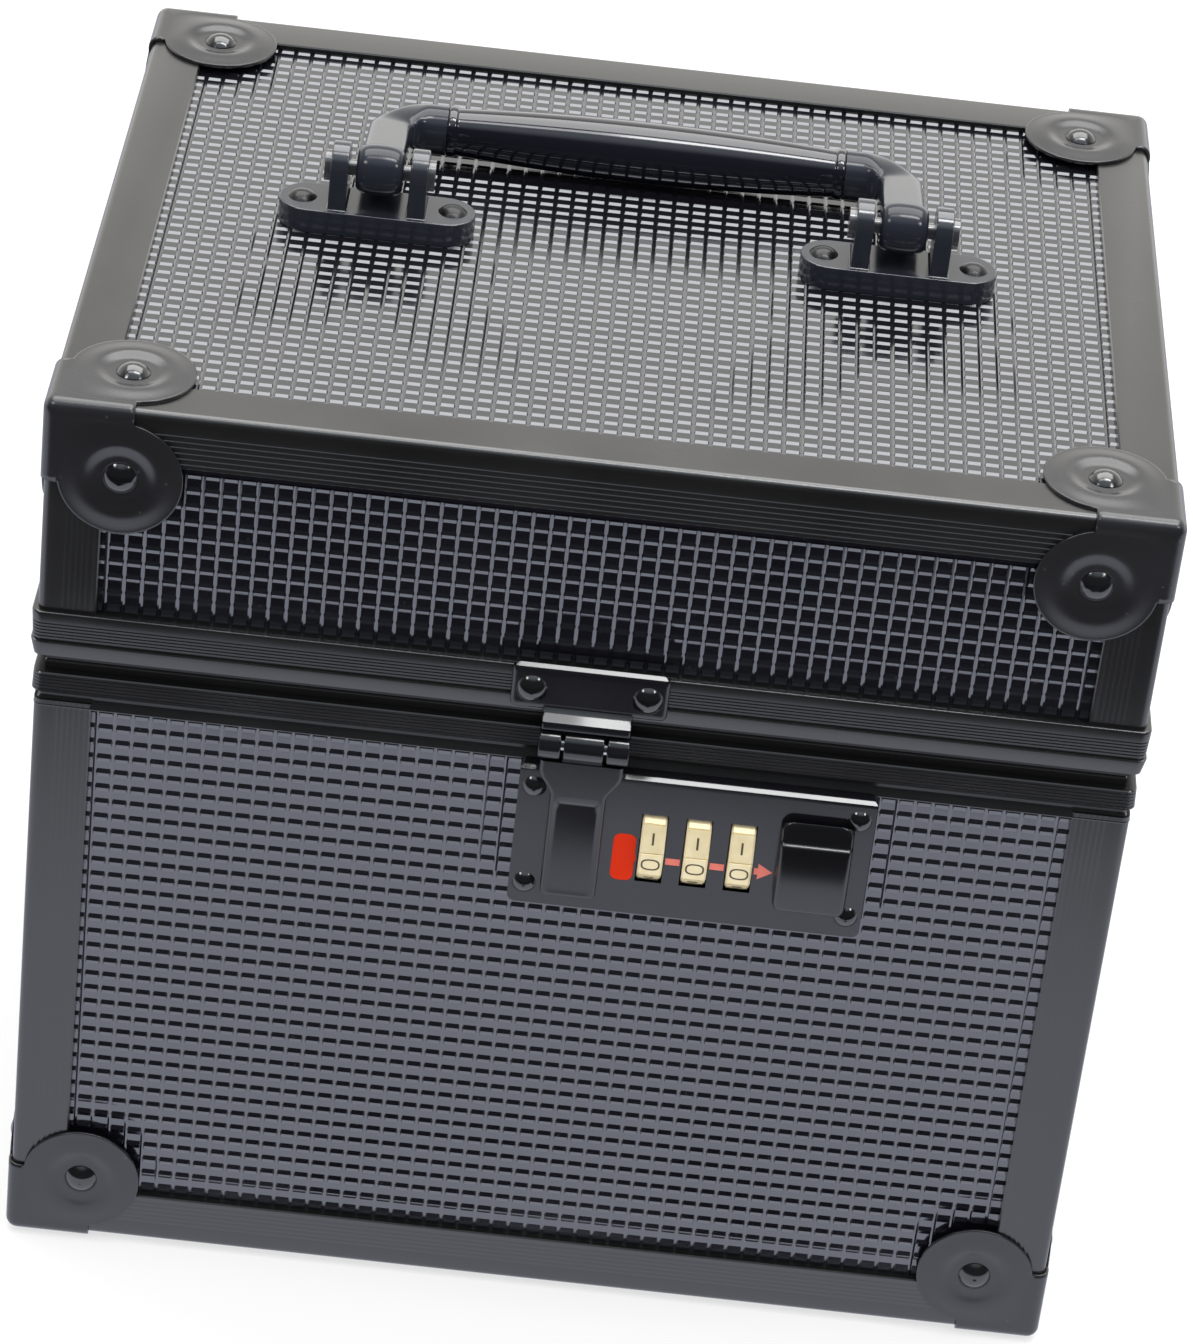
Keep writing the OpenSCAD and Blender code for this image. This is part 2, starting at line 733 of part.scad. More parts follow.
module handle_bail() {
    eye_half_w = bail_w / 2 + 0.4;
    color([0.12, 0.12, 0.13]) bail_frame() difference() {
        union() {
            translate([0, 0, -bail_t / 2]) linear_extrude(bail_t) bail_outline();
            translate([0, bail_reach, 0]) rotate([0, 90, 0]) {
                cylinder(r = core_r, h = 2 * grip_half_l + 4, center = true);
                for (s = [0, 1]) mirror([0, 0, s]) translate([0, 0, grip_half_l])
                    cylinder(r1 = grip_end_r, r2 = 3, h = 7.5);
            }
            for (s = [-1, 1]) translate([s * bracket_pitch / 2, 0, 0]) rotate([0, 90, 0])
                rotate_extrude() polygon([
                    [0, -eye_half_w], [eye_r - 2, -eye_half_w], [eye_r - 0.6, -eye_half_w + 1],
                    [eye_r, -eye_half_w + 2.4], [eye_r, eye_half_w - 2.4],
                    [eye_r - 0.6, eye_half_w - 1], [eye_r - 2, eye_half_w], [0, eye_half_w]
                ]);
        }
        for (s = [-1, 1]) translate([s * bracket_pitch / 2, 0, 0]) rotate([0, 90, 0])
            cylinder(r = pivot_pin_r + running_gap, h = 2 * eye_half_w + 2, center = true);
    }
}

// Barrel profile of the grip: half length along Y, radius along X
module grip_profile(half_l) {
    steps = 6;
    swell = grip_mid_r - grip_end_r;
    polygon(concat(
        [[0, -half_l]],
        [for (i = [-steps : steps]) [grip_mid_r - swell * pow(i / steps, 2), i * half_l / steps]],
        [[0, half_l]]
    ));
}

module handle_grip() {
    collar_w = 1.8;
    collar_h = 0.35;
    half_l = grip_half_l - 0.05;
    color([0.05, 0.05, 0.06]) bail_frame() translate([0, bail_reach, 0]) rotate([0, 90, 0]) difference() {
        union() {
            rotate_extrude() grip_profile(half_l);
            for (s = [0, 1]) mirror([0, 0, s]) translate([0, 0, half_l - collar_w])
                cylinder(r = grip_end_r + collar_h, h = collar_w);
        }
        cylinder(r = core_r + fixed_gap, h = 2 * grip_half_l + 2, center = true);
    }
}

// ---------- keeper and hasp ----------

module keeper_rivet_places() {
    for (s = [-1, 1]) translate([s * keeper_rivet_pitch / 2, rim_front_y - keeper_t, keeper_z0 + 4.1])
        children();
}

module hasp_line() {
    translate([0, hasp_y, hasp_z]) rotate([0, 90, 0]) children();
}

module keeper_plate() {
    color([0.12, 0.12, 0.13]) difference() {
        union() {
            translate([0, rim_front_y, keeper_z0 + keeper_h / 2]) rotate([90, 0, 0])
                linear_extrude(keeper_t) round_rect(keeper_w, keeper_h, 0.8);
            translate([-keeper_tab_half_w, 0, 0]) rotate([90, 0, 90]) linear_extrude(2 * keeper_tab_half_w)
                polygon([
                    [rim_front_y - keeper_t / 2, keeper_z0 + 2.4], [rim_front_y - keeper_t, keeper_z0 + 3],
                    [hasp_y - 1.6, keeper_z0 + 0.2], [hasp_y - hasp_knuckle_r, hasp_z],
                    [hasp_y, hasp_z], [hasp_y, hasp_z + hasp_knuckle_r], [rim_front_y - keeper_t, keeper_z0]
                ]);
            for (s = [-1, 1]) translate([s * (keeper_tab_half_w + 0.2 - keeper_knuckle_w / 2), 0, 0])
                hasp_line() cylinder(r = hasp_knuckle_r, h = keeper_knuckle_w, center = true);
        }
        hasp_line() cylinder(r = hasp_pin_r + fixed_gap, h = 2 * keeper_tab_half_w + 4, center = true);
        hasp_line()
            cylinder(r = hasp_knuckle_r + moving_gap, h = 2 * hasp_knuckle_half_w + 1, center = true);
        span([-hasp_knuckle_half_w - 0.5, hasp_y - 2 * hasp_knuckle_r, hasp_z - 2 * hasp_knuckle_r],
             [hasp_knuckle_half_w + 0.5, hasp_y + 2 * hasp_knuckle_r, hasp_z]);
        keeper_rivet_places() rotate([90, 0, 0]) rim_rivet_hole();
    }
}

module keeper_rivets() {
    color([0.1, 0.1, 0.11]) keeper_rivet_places() rotate([90, 0, 0])
        dome_fastener(keeper_rivet_r, keeper_rivet_h, small_shank_r, keeper_t + rim_rivet_l);
}

module hasp_pin() {
    color([0.5, 0.5, 0.52]) hasp_line()
        cylinder(r = hasp_pin_r, h = 2 * keeper_tab_half_w + 0.4, center = true);
}

module hasp_outline() {
    bottom = hasp_z - hasp_l;
    shoulder = hasp_z - 5.8;
    waist = hasp_z - 10.2;
    corner = 1.2;
    difference() {
        polygon([
            [-hasp_top_half_w, hasp_leaf_top], [hasp_top_half_w, hasp_leaf_top],
            [hasp_top_half_w, shoulder], [hasp_half_w, waist],
            [hasp_half_w, bottom + corner], [hasp_half_w - corner, bottom],
            [corner - hasp_half_w, bottom], [-hasp_half_w, bottom + corner],
            [-hasp_half_w, waist], [-hasp_top_half_w, shoulder]
        ]);
    }
}

module hasp() {
    pad_half_w = 3.85;
    pad_z0 = hasp_z - 31.7;
    pad_z1 = hasp_z - 13;
    color([0.13, 0.13, 0.14]) difference() {
        union() {
            translate([0, hasp_leaf_y, 0]) rotate([90, 0, 0]) linear_extrude(hasp_t) hasp_outline();
            span([-hasp_knuckle_half_w, hasp_leaf_y - hasp_t, hasp_leaf_top - 1],
                 [hasp_knuckle_half_w, hasp_leaf_y, hasp_z]);
            hasp_line() cylinder(r = hasp_knuckle_r, h = 2 * hasp_knuckle_half_w, center = true);
            span([-catch_half_w, hasp_leaf_y - eps, catch_z],
                 [catch_half_w, hasp_leaf_y + catch_t, catch_z + catch_h]);
        }
        hasp_line() cylinder(r = hasp_pin_r + running_gap, h = 4 * hasp_knuckle_half_w, center = true);
        span([-pad_half_w, hasp_leaf_y - hasp_t - 1, pad_z0],
             [pad_half_w, hasp_leaf_y - hasp_t + 0.5, pad_z1]);
    }
}

// ---------- lock ----------

module plate_rivet_places() {
    for (x = [plate_x0 + plate_rivet_inset, plate_x1 - plate_rivet_inset],
         z = [plate_z - plate_h / 2 + plate_rivet_edge, plate_z + plate_h / 2 - plate_rivet_edge])
        translate([x, plate_y, z]) children();
}

module dial_places(first, last) {
    for (i = [first : last]) translate([dial_mid_x + (i - 2) * dial_pitch, dial_axis_y, dial_axis_z])
        rotate([0, 90, 0]) children();
}

shaft_x0 = dial_mid_x - dial_pitch - dial_w / 2 - 0.6;
shaft_x1 = dial_mid_x + dial_pitch + dial_w / 2 + 0.6;
shaft_boss_w = 1.8;
plate_edge_r = 1.6;
// the tip stops short of the first shaft boss when the button is slid back
bolt_tip_w = max(1.5, min(4, shaft_x0 - shaft_boss_w - button_travel - moving_gap - bolt_tip_x));

module lock_plate_body() {
    difference() {
        translate([plate_mid_x, panel_y, plate_z]) rotate([90, 0, 0])
            linear_extrude(plate_t) round_rect(plate_l, plate_h, 1.5);
        // rounded top edge of the casting
        translate([plate_x0 - 1, plate_y, plate_z + plate_h / 2]) rotate([90, 0, 90])
            linear_extrude(plate_l + 2) difference() {
                translate([-1, -plate_edge_r]) square([plate_edge_r + 1, plate_edge_r + 1]);
                translate([plate_edge_r, -plate_edge_r]) circle(plate_edge_r);
            }
    }
}

module lock_plate() {
    boss_y1 = dial_axis_y + shaft_r + 1.5;
    color([0.13, 0.13, 0.14]) difference() {
        union() {
            lock_plate_body();
            // bosses that carry the dial shaft
            for (x = [shaft_x0 - shaft_boss_w, shaft_x1])
                span([x, panel_y - 1, dial_axis_z - shaft_r - 1.5],
                     [x + shaft_boss_w, boss_y1, dial_axis_z + shaft_r + 1.5]);
            // pillars that the rear cover is screwed to
            for (p = cover_boss) translate([p[0], panel_y - 1, p[1]]) rotate([-90, 0, 0])
                cylinder(r = boss_r, h = cover_y - cover_t - panel_y + 1);
        }
        dial_places(1, 3) cylinder(r = dial_window_r, h = dial_window_w, center = true);
        translate([shaft_x0 - shaft_boss_w - 1, dial_axis_y, dial_axis_z]) rotate([0, 90, 0])
            cylinder(r = shaft_r + fixed_gap, h = shaft_x1 - shaft_x0 + 2 * shaft_boss_w + 2);
        // slot for the button's neck
        span([neck_x0 - moving_gap, plate_y - 1, button_z - neck_h / 2 - moving_gap],
             [neck_x0 + neck_w + button_travel + moving_gap, panel_y + 1,
              button_z + neck_h / 2 + moving_gap]);
        // channel for the catch, open at the top
        span([-channel_half_w, plate_y - 1, catch_z - 2.3],
             [channel_half_w, plate_y - moving_gap + channel_d + 0.1, plate_z + plate_h / 2 + 1]);
        // passage for the tip of the bolt
        span([bolt_tip_x - moving_gap, plate_y + 0.6, bolt_tip_z - moving_gap],
             [bolt_tip_x + bolt_tip_w + button_travel + moving_gap, panel_y + 1,
              bolt_tip_z + bolt_tip_h + moving_gap]);
        plate_rivet_places() rotate([90, 0, 0]) translate([0, 0, -20])
            cylinder(r = small_shank_r + fixed_gap, h = 40);
        // recess for the index line
        translate([0, plate_y + index_depth, 0]) rotate([90, 0, 0])
            linear_extrude(index_depth + 1) index_outline(0.01);
        for (p = cover_boss) translate([p[0], cover_y, p[1]]) rotate([90, 0, 0])
            cylinder(r = cover_screw_r + fixed_gap, h = 8);
    }
}

module lock_plate_rivets() {
    color([0.1, 0.1, 0.11]) plate_rivet_places() rotate([90, 0, 0]) {
        dome_fastener(plate_rivet_r, small_head_h, small_shank_r, plate_t + panel_t);
        translate([0, 0, -plate_t - panel_t - tail_t]) cylinder(r = small_tail_r, h = tail_t);
    }
}

index_depth = 0.4;

// Index line across the dials, with a rounded bar at its left and an arrow at its right
module index_outline(grow) {
    line_z = dial_axis_z - 2.4;
    bar_x = 9.25;
    bar_half_w = 2.05 + grow;
    bar_half_h = 5 + grow;
    arrow_x = button_x0 - 3.1;
    tip_x = button_x0 - 0.4;
    translate([bar_x, line_z]) {
        square([2 * bar_half_w, 2 * (bar_half_h - 1.4)], center = true);
        square([2 * (bar_half_w - 1.4), 2 * bar_half_h], center = true);
        for (sx = [-1, 1], sz = [-1, 1])
            translate([sx * (bar_half_w - 1.4), sz * (bar_half_h - 1.4)]) circle(1.4);
    }
    difference() {
        translate([bar_x, line_z - 0.7 - grow]) square([arrow_x - bar_x + 0.5, 1.4 + 2 * grow]);
        for (i = [-1, 0, 1]) translate([dial_mid_x + i * dial_pitch, line_z])
            square([dial_window_w + 0.6 - 2 * grow, 4], center = true);
    }
    polygon([
        [arrow_x - grow, line_z - 1.7 - grow], [arrow_x - grow, line_z + 1.7 + grow], [tip_x + grow, line_z]
    ]);
}

module lock_index_line() {
    color([0.8, 0.2, 0.1]) translate([0, plate_y + index_depth, 0]) rotate([90, 0, 0])
        linear_extrude(index_depth) index_outline(0);
}

module dial_shaft() {
    color([0.7, 0.7, 0.7]) translate([shaft_x0 - shaft_boss_w, dial_axis_y, dial_axis_z]) rotate([0, 90, 0])
        cylinder(r = shaft_r, h = shaft_x1 - shaft_x0 + 2 * shaft_boss_w);
}

// Ten-sided dial, turned so that one face looks almost straight out of the window
module dial(i) {
    color([0.7, 0.58, 0.32]) dial_places(i, i) difference() {
        rotate([0, 0, -90 - dial_turn]) cylinder(r = dial_r, h = dial_w, center = true, $fn = 10);
        cylinder(r = shaft_r + running_gap, h = dial_w + 2, center = true);
    }
}

module dial_1() {
    dial(1);
}

module dial_2() {
    dial(2);
}

module dial_3() {
    dial(3);
}

// Leaf spring over the dials, fixed to the back of the lock plate
module detent_spring() {
    leaf_t = 0.5;
    z0 = dial_axis_z + dial_r + 0.4;
    slit = dial_pitch - dial_w - 0.4;
    color([0.7, 0.7, 0.72]) difference() {
        union() {
            span([shaft_x0, panel_y, z0], [shaft_x1, panel_y + leaf_t, cover_z1 - cover_t - 0.3]);
            span([shaft_x0, panel_y, z0], [shaft_x1, panel_y + 7, z0 + leaf_t]);
        }
        for (s = [-1, 1]) translate([dial_mid_x + s * dial_pitch / 2, panel_y + 5, z0])
            cube([slit, 7, 4], center = true);
    }
}

// Sliding release button with a ridge near its top
module release_button() {
    ridge_z = button_z + 5.6;
    under = plate_y - moving_gap;
    color([0.08, 0.08, 0.09]) difference() {
        union() {
            intersection() {
                translate([button_x0 + button_w / 2, plate_y + 1, button_z]) rotate([90, 0, 0])
                    linear_extrude(button_proud + 2) round_rect(button_w, button_h, 1.8);
                translate([button_x0 - 1, 0, 0]) rotate([90, 0, 90]) linear_extrude(button_w + 2)
                    polygon([
                        [under, button_z - button_h / 2], [under, button_z + button_h / 2],
                        [plate_y - 2.4, button_z + button_h / 2], [plate_y - button_proud, ridge_z + 0.6],
                        [plate_y - button_proud, ridge_z - 0.6], [plate_y - 2.6, button_z - button_h / 2]
                    ]);
            }
            span([neck_x0, plate_y - 1, button_z - neck_h / 2],
                 [neck_x0 + neck_w, bolt_y, button_z + neck_h / 2]);
        }
        // reliefs that pass over the plate rivets
        for (z = [plate_z - plate_h / 2 + plate_rivet_edge, plate_z + plate_h / 2 - plate_rivet_edge])
            span([button_x0 + button_w - 5.6, under - 1.4, z - plate_rivet_r - 0.5],
                 [button_x0 + button_w + 1, plate_y, z + plate_rivet_r + 0.5]);
    }
}

// Bolt bar under the dials: neck plate at the button, tip at the catch, lug for the spring
module lock_bolt() {
    color([0.6, 0.6, 0.62]) {
        span([bolt_tip_x, bolt_y, bolt_z], [neck_x0 + neck_w, bolt_y + bolt_t, bolt_z + bolt_h]);
        span([neck_x0, bolt_y, bolt_z], [neck_x0 + neck_w, bolt_y + bolt_t, button_z + neck_h / 2]);
        span([bolt_tip_x, bolt_y, bolt_z],
             [bolt_tip_x + bolt_tip_w, bolt_y + bolt_t, bolt_tip_z + bolt_tip_h]);
        span([bolt_tip_x, plate_y + 0.9, bolt_tip_z],
             [bolt_tip_x + bolt_tip_w, bolt_y + eps, bolt_tip_z + bolt_tip_h]);
        span([spring_x0 - 1.4, bolt_y, bolt_z], [spring_x0, bolt_y + bolt_t + 3.4, bolt_z + 3.4]);
    }
}

spring_x0 = shaft_x1 + 1.2;
spring_r = 1.3;

// Coil spring between the bolt's lug and the end wall of the cover
module bolt_spring() {
    turns = 5;
    length = cover_x1 - cover_t - spring_x0;
    color([0.7, 0.7, 0.72]) translate([spring_x0, bolt_y + bolt_t + 1.8, bolt_z + 1.8]) rotate([0, 90, 0])
        linear_extrude(length, twist = -360 * turns, slices = 10 * turns, $fn = 8)
            translate([spring_r, 0]) circle(0.4, $fn = 6);
}

module lock_cover() {
    color([0.15, 0.15, 0.16]) difference() {
        span([cover_x0, panel_y, cover_z0], [cover_x1, cover_y, cover_z1]);
        span([cover_x0 + cover_t, panel_y - 1, cover_z0 + cover_t],
             [cover_x1 - cover_t, cover_y - cover_t, cover_z1 - cover_t]);
        for (p = cover_boss) translate([p[0], cover_y + 1, p[1]]) rotate([90, 0, 0])
            cylinder(r = cover_screw_r + fixed_gap, h = cover_t + 2);
    }
}

module lock_cover_screws() {
    color([0.6, 0.6, 0.62]) for (p = cover_boss) translate([p[0], cover_y, p[1]]) rotate([-90, 0, 0])
        dome_fastener(cover_screw_head_r, small_head_h, cover_screw_r, cover_screw_l);
}

// ---------- hinges ----------

module hinge_places() {
    for (s = [-1, 1]) translate([s * hinge_pitch / 2, 0, 0]) children();
}

module hinge_line() {
    translate([0, hinge_y, parting_z]) rotate([0, 90, 0]) children();
}

module hinge_base_rivet_places() {
    hinge_places() for (s = [-1, 1])
        translate([s * hinge_w / 3, -panel_y + hinge_leaf_t, parting_z - 16.5]) children();
}

module hinge_lid_rivet_places() {
    hinge_places() for (s = [-1, 1])
        translate([s * hinge_w / 3, rim_back_y + hinge_leaf_t, keeper_z0 + 4.1]) children();
}

// Lower leaf: flat on the base rim, stepped in to the back panel
module hinge_base_leaves() {
    rim_y = case_d / 2 + base_rim_proud;
    step_z = parting_z - base_rim_h - 0.2;
    top = parting_z - hinge_leaf_start;
    color([0.12, 0.12, 0.13]) hinge_places() difference() {
        union() {
            span([-hinge_w / 2, rim_y, step_z - hinge_leaf_t], [hinge_w / 2, rim_y + hinge_leaf_t, top]);
            span([-hinge_w / 2, -panel_y, step_z - hinge_leaf_t],
                 [hinge_w / 2, rim_y + hinge_leaf_t, step_z]);
            span([-hinge_w / 2, -panel_y, step_z - hinge_leaf_h],
                 [hinge_w / 2, -panel_y + hinge_leaf_t, step_z]);
            for (s = [0, 1]) mirror([s, 0, 0]) {
                span([hinge_mid_half_w + 0.3, rim_y, top - 0.5],
                     [hinge_w / 2, rim_y + hinge_leaf_t, parting_z - 1.2]);
                translate([hinge_mid_half_w + 0.3, 0, 0]) hinge_line()
                    cylinder(r = hinge_knuckle_r, h = hinge_w / 2 - hinge_mid_half_w - 0.3);
            }
        }
        hinge_line() cylinder(r = hinge_pin_r + fixed_gap, h = hinge_w + 2, center = true);
        hinge_line()
            cylinder(r = hinge_knuckle_r + moving_gap, h = 2 * hinge_mid_half_w + 0.6, center = true);
        for (s = [-1, 1]) translate([s * hinge_w / 3, 0, parting_z - 16.5]) rotate([-90, 0, 0])
            cylinder(r = small_shank_r + fixed_gap, h = case_d);
    }
}

module hinge_lid_leaves() {
    color([0.12, 0.12, 0.13]) hinge_places() difference() {
        union() {
            span([-hinge_w / 2, rim_back_y, parting_z + hinge_leaf_start],
                 [hinge_w / 2, rim_back_y + hinge_leaf_t, parting_z + lid_rim_h - 0.4]);
            span([-hinge_mid_half_w, rim_back_y, parting_z + 1.2],
                 [hinge_mid_half_w, hinge_y, parting_z + hinge_leaf_start + 0.5]);
            hinge_line() cylinder(r = hinge_knuckle_r, h = 2 * hinge_mid_half_w, center = true);
        }
        hinge_line() cylinder(r = hinge_pin_r + running_gap, h = 2 * hinge_mid_half_w + 2, center = true);
        for (s = [-1, 1]) translate([s * hinge_w / 3, 0, keeper_z0 + 4.1]) rotate([-90, 0, 0])
            cylinder(r = small_shank_r + fixed_gap, h = case_d);
    }
}

module hinge_pins() {
    color([0.5, 0.5, 0.52]) hinge_places() hinge_line()
        cylinder(r = hinge_pin_r, h = hinge_w, center = true);
}

module hinge_base_rivets() {
    color([0.1, 0.1, 0.11]) hinge_base_rivet_places() rotate([-90, 0, 0]) {
        dome_fastener(hinge_rivet_r, small_head_h, small_shank_r, hinge_leaf_t + panel_t);
        translate([0, 0, -hinge_leaf_t - panel_t - tail_t]) cylinder(r = small_tail_r, h = tail_t);
    }
}

module hinge_lid_rivets() {
    color([0.1, 0.1, 0.11]) hinge_lid_rivet_places() rotate([-90, 0, 0])
        dome_fastener(hinge_rivet_r, small_head_h, small_shank_r, hinge_leaf_t + rim_rivet_l);
}

// ---------- the nodes, in place ----------

translate([0, case_y, 0]) {
    base_front_panel();
    base_back_panel();
    base_side_panels();
    base_bottom_panel();
    base_bottom_frame();
    base_corner_posts();
    base_rim();
    base_corner_caps();
    base_cap_rivets();
    base_lining();
    lid_top_panel();
    lid_front_panel();
    lid_back_panel();
    lid_side_panels();
    lid_top_frame();
    lid_corner_posts();
    lid_rim();
    lid_corner_caps();
    lid_cap_rivets();
    lid_lining();
    handle_brackets();
    bracket_screws();
    bracket_nuts();
    handle_pins();
    handle_bail();
    handle_grip();
    keeper_plate();
    keeper_rivets();
    hasp_pin();
    hasp();
    lock_plate();
    lock_plate_rivets();
    lock_index_line();
    dial_shaft();
    dial_1();
    dial_2();
    dial_3();
    detent_spring();
    release_button();
    lock_bolt();
    bolt_spring();
    lock_cover();
    lock_cover_screws();
    hinge_base_leaves();
    hinge_lid_leaves();
    hinge_pins();
    hinge_base_rivets();
    hinge_lid_rivets();
}
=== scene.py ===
import json
import math
from functools import partial
import bmesh
import bpy
from mathutils import Euler, Matrix, Vector
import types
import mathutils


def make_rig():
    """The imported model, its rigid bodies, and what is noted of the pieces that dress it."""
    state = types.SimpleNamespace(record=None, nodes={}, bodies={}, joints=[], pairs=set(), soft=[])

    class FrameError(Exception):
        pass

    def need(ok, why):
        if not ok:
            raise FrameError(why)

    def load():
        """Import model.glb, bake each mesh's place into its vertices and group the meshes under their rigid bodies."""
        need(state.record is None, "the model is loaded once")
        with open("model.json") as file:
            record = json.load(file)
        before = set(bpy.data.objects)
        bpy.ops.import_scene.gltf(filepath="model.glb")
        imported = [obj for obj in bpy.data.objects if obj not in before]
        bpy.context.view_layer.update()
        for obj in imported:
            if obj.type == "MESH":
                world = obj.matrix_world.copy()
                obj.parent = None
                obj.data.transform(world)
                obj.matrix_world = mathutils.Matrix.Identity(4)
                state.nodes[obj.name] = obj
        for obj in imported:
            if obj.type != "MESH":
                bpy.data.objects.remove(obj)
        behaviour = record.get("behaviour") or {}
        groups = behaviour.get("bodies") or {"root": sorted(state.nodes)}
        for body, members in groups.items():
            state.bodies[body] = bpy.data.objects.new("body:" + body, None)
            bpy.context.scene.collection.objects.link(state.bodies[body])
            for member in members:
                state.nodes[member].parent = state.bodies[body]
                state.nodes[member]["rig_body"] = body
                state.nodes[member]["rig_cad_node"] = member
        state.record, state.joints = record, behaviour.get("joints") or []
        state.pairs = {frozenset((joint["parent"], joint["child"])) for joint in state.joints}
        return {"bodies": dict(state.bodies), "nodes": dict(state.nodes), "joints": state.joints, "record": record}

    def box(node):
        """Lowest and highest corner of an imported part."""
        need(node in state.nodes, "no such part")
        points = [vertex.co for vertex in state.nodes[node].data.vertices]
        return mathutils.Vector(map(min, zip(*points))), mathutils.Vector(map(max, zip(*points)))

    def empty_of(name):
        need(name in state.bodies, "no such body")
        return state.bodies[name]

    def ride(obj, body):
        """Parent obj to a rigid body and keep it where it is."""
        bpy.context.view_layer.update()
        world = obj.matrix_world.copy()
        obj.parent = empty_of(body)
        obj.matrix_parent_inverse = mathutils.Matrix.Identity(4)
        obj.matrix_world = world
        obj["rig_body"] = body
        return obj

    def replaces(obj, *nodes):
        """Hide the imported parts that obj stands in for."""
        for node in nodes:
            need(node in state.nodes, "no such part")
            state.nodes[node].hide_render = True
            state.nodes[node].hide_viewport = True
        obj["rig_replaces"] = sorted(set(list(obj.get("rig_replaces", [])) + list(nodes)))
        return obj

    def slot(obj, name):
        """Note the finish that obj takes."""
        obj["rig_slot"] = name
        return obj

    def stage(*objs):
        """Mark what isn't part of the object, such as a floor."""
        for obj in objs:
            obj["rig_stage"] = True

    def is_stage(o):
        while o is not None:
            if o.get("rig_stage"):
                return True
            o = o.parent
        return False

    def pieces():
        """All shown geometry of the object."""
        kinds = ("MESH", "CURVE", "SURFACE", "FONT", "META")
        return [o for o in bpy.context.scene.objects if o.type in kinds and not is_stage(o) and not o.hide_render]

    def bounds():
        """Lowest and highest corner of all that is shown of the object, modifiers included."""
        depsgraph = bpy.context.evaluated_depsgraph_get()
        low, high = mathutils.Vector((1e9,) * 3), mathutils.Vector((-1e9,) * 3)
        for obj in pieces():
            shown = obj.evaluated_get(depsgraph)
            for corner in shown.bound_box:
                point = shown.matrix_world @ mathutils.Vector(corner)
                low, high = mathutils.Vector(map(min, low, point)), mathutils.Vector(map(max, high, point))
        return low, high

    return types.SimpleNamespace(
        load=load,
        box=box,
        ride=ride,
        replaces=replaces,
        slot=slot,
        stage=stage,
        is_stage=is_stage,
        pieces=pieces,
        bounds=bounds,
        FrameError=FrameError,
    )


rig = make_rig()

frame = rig.load()
cad_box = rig.bounds()

MM = 0.001
QUARTER = math.pi / 2

# Sizes of the case in millimetres, as the solids have them
CASE_W, CASE_D = 197.0, 162.0
FRAME_LOW, FRAME_TOP, PARTING = 1.2, 181.7, 128.7
BASE_POST_TOP, LID_POST_LOW = 121.0, 139.9
LEG, LEG_T, CORE = 10.4, 1.5, 5.7  # corner extrusion: width of a leg, its thickness, side of its square core
EDGE_R = 1.5
# Embossing: broad ridges along the panel, narrow ribs across them
PITCH, TOP_ROW_PITCH = 3.2, 3.12
RIDGE_HALF, BASE_RIDGE_HALF, TOP_RIDGE_HALF = 0.78, 0.86, 0.66
RIDGE_H, RIB_HALF, RIB_H, RAMP = 0.28, 0.34, 0.17, 0.12


def box_of(node):
    """Low and high corner of a node's box in millimetres."""
    return [[v / MM for v in corner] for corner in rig.box(node)]


def middle_of(node):
    """Middle of a node's box in millimetres."""
    return [(a + b) / 2 for a, b in zip(*box_of(node))]


CASE_Y = middle_of("lid_top_panel")[1]
PIVOT_Y, PIVOT_Z = middle_of("handle_pins")[1:]


# -------- objects and nodes

def in_scene(name, data):
    """A new object that holds the data, linked to the scene."""
    obj = bpy.data.objects.new(name, data)
    bpy.context.scene.collection.objects.link(obj)
    return obj


def evaluated_mesh(holder):
    """The mesh that a holder gives once its modifiers or its text are worked out. The holder goes."""
    bpy.context.view_layer.update()
    graph = bpy.context.evaluated_depsgraph_get()
    mesh = bpy.data.meshes.new_from_object(holder.evaluated_get(graph))
    bpy.data.objects.remove(holder)
    return mesh


def mesh_from(bm, name):
    """A mesh with what the bmesh holds. The bmesh goes."""
    mesh = bpy.data.meshes.new(name)
    bm.to_mesh(mesh)
    bm.free()
    return mesh


def absorb(bm, part):
    """Adds a finished part to a bmesh."""
    mesh = mesh_from(part, "part")
    bm.from_mesh(mesh)
    bpy.data.meshes.remove(mesh)


def new_node(tree, kind, inputs=None, **settings):
    """A node with its settings. Each input is linked to a socket or holds a value."""
    made = tree.nodes.new(kind)
    for key, value in settings.items():
        setattr(made, key, value)
    for key, value in (inputs or {}).items():
        if isinstance(value, bpy.types.NodeSocket):
            tree.links.new(value, made.inputs[key])
        else:
            made.inputs[key].default_value = value
    return made


def map_range(tree, value, low, high, to_low=0.0, to_high=1.0):
    """The value's run from low to high, mapped to another run."""
    return new_node(tree, "ShaderNodeMapRange", {"Value": value, "From Min": low, "From Max": high,
                                                 "To Min": to_low, "To Max": to_high}).outputs["Result"]


def mix_colour(tree, factor, a, b):
    """Colour that runs from a to b with the factor."""
    return new_node(tree, "ShaderNodeMix", {"Factor": factor, "A": a, "B": b}, data_type="RGBA").outputs["Result"]


def object_axes(tree):
    """The X, Y and Z of object coordinates, as the outputs of one node."""
    coord = new_node(tree, "ShaderNodeTexCoord")
    return new_node(tree, "ShaderNodeSeparateXYZ", {0: coord.outputs["Object"]}).outputs


def math_node(tree, op, a, b=None):
    """A math node in the tree, fed with sockets or numbers."""
    inputs = {0: a} if b is None else {0: a, 1: b}
    return new_node(tree, "ShaderNodeMath", inputs, operation=op).outputs[0]


# -------- materials

def socket(group, name, kind, into=True, value=None):
    """A named input of a node group, or an output of it."""
    made = group.interface.new_socket(name, in_out="INPUT" if into else "OUTPUT", socket_type=kind)
    if value is not None:
        made.default_value = value
    return made


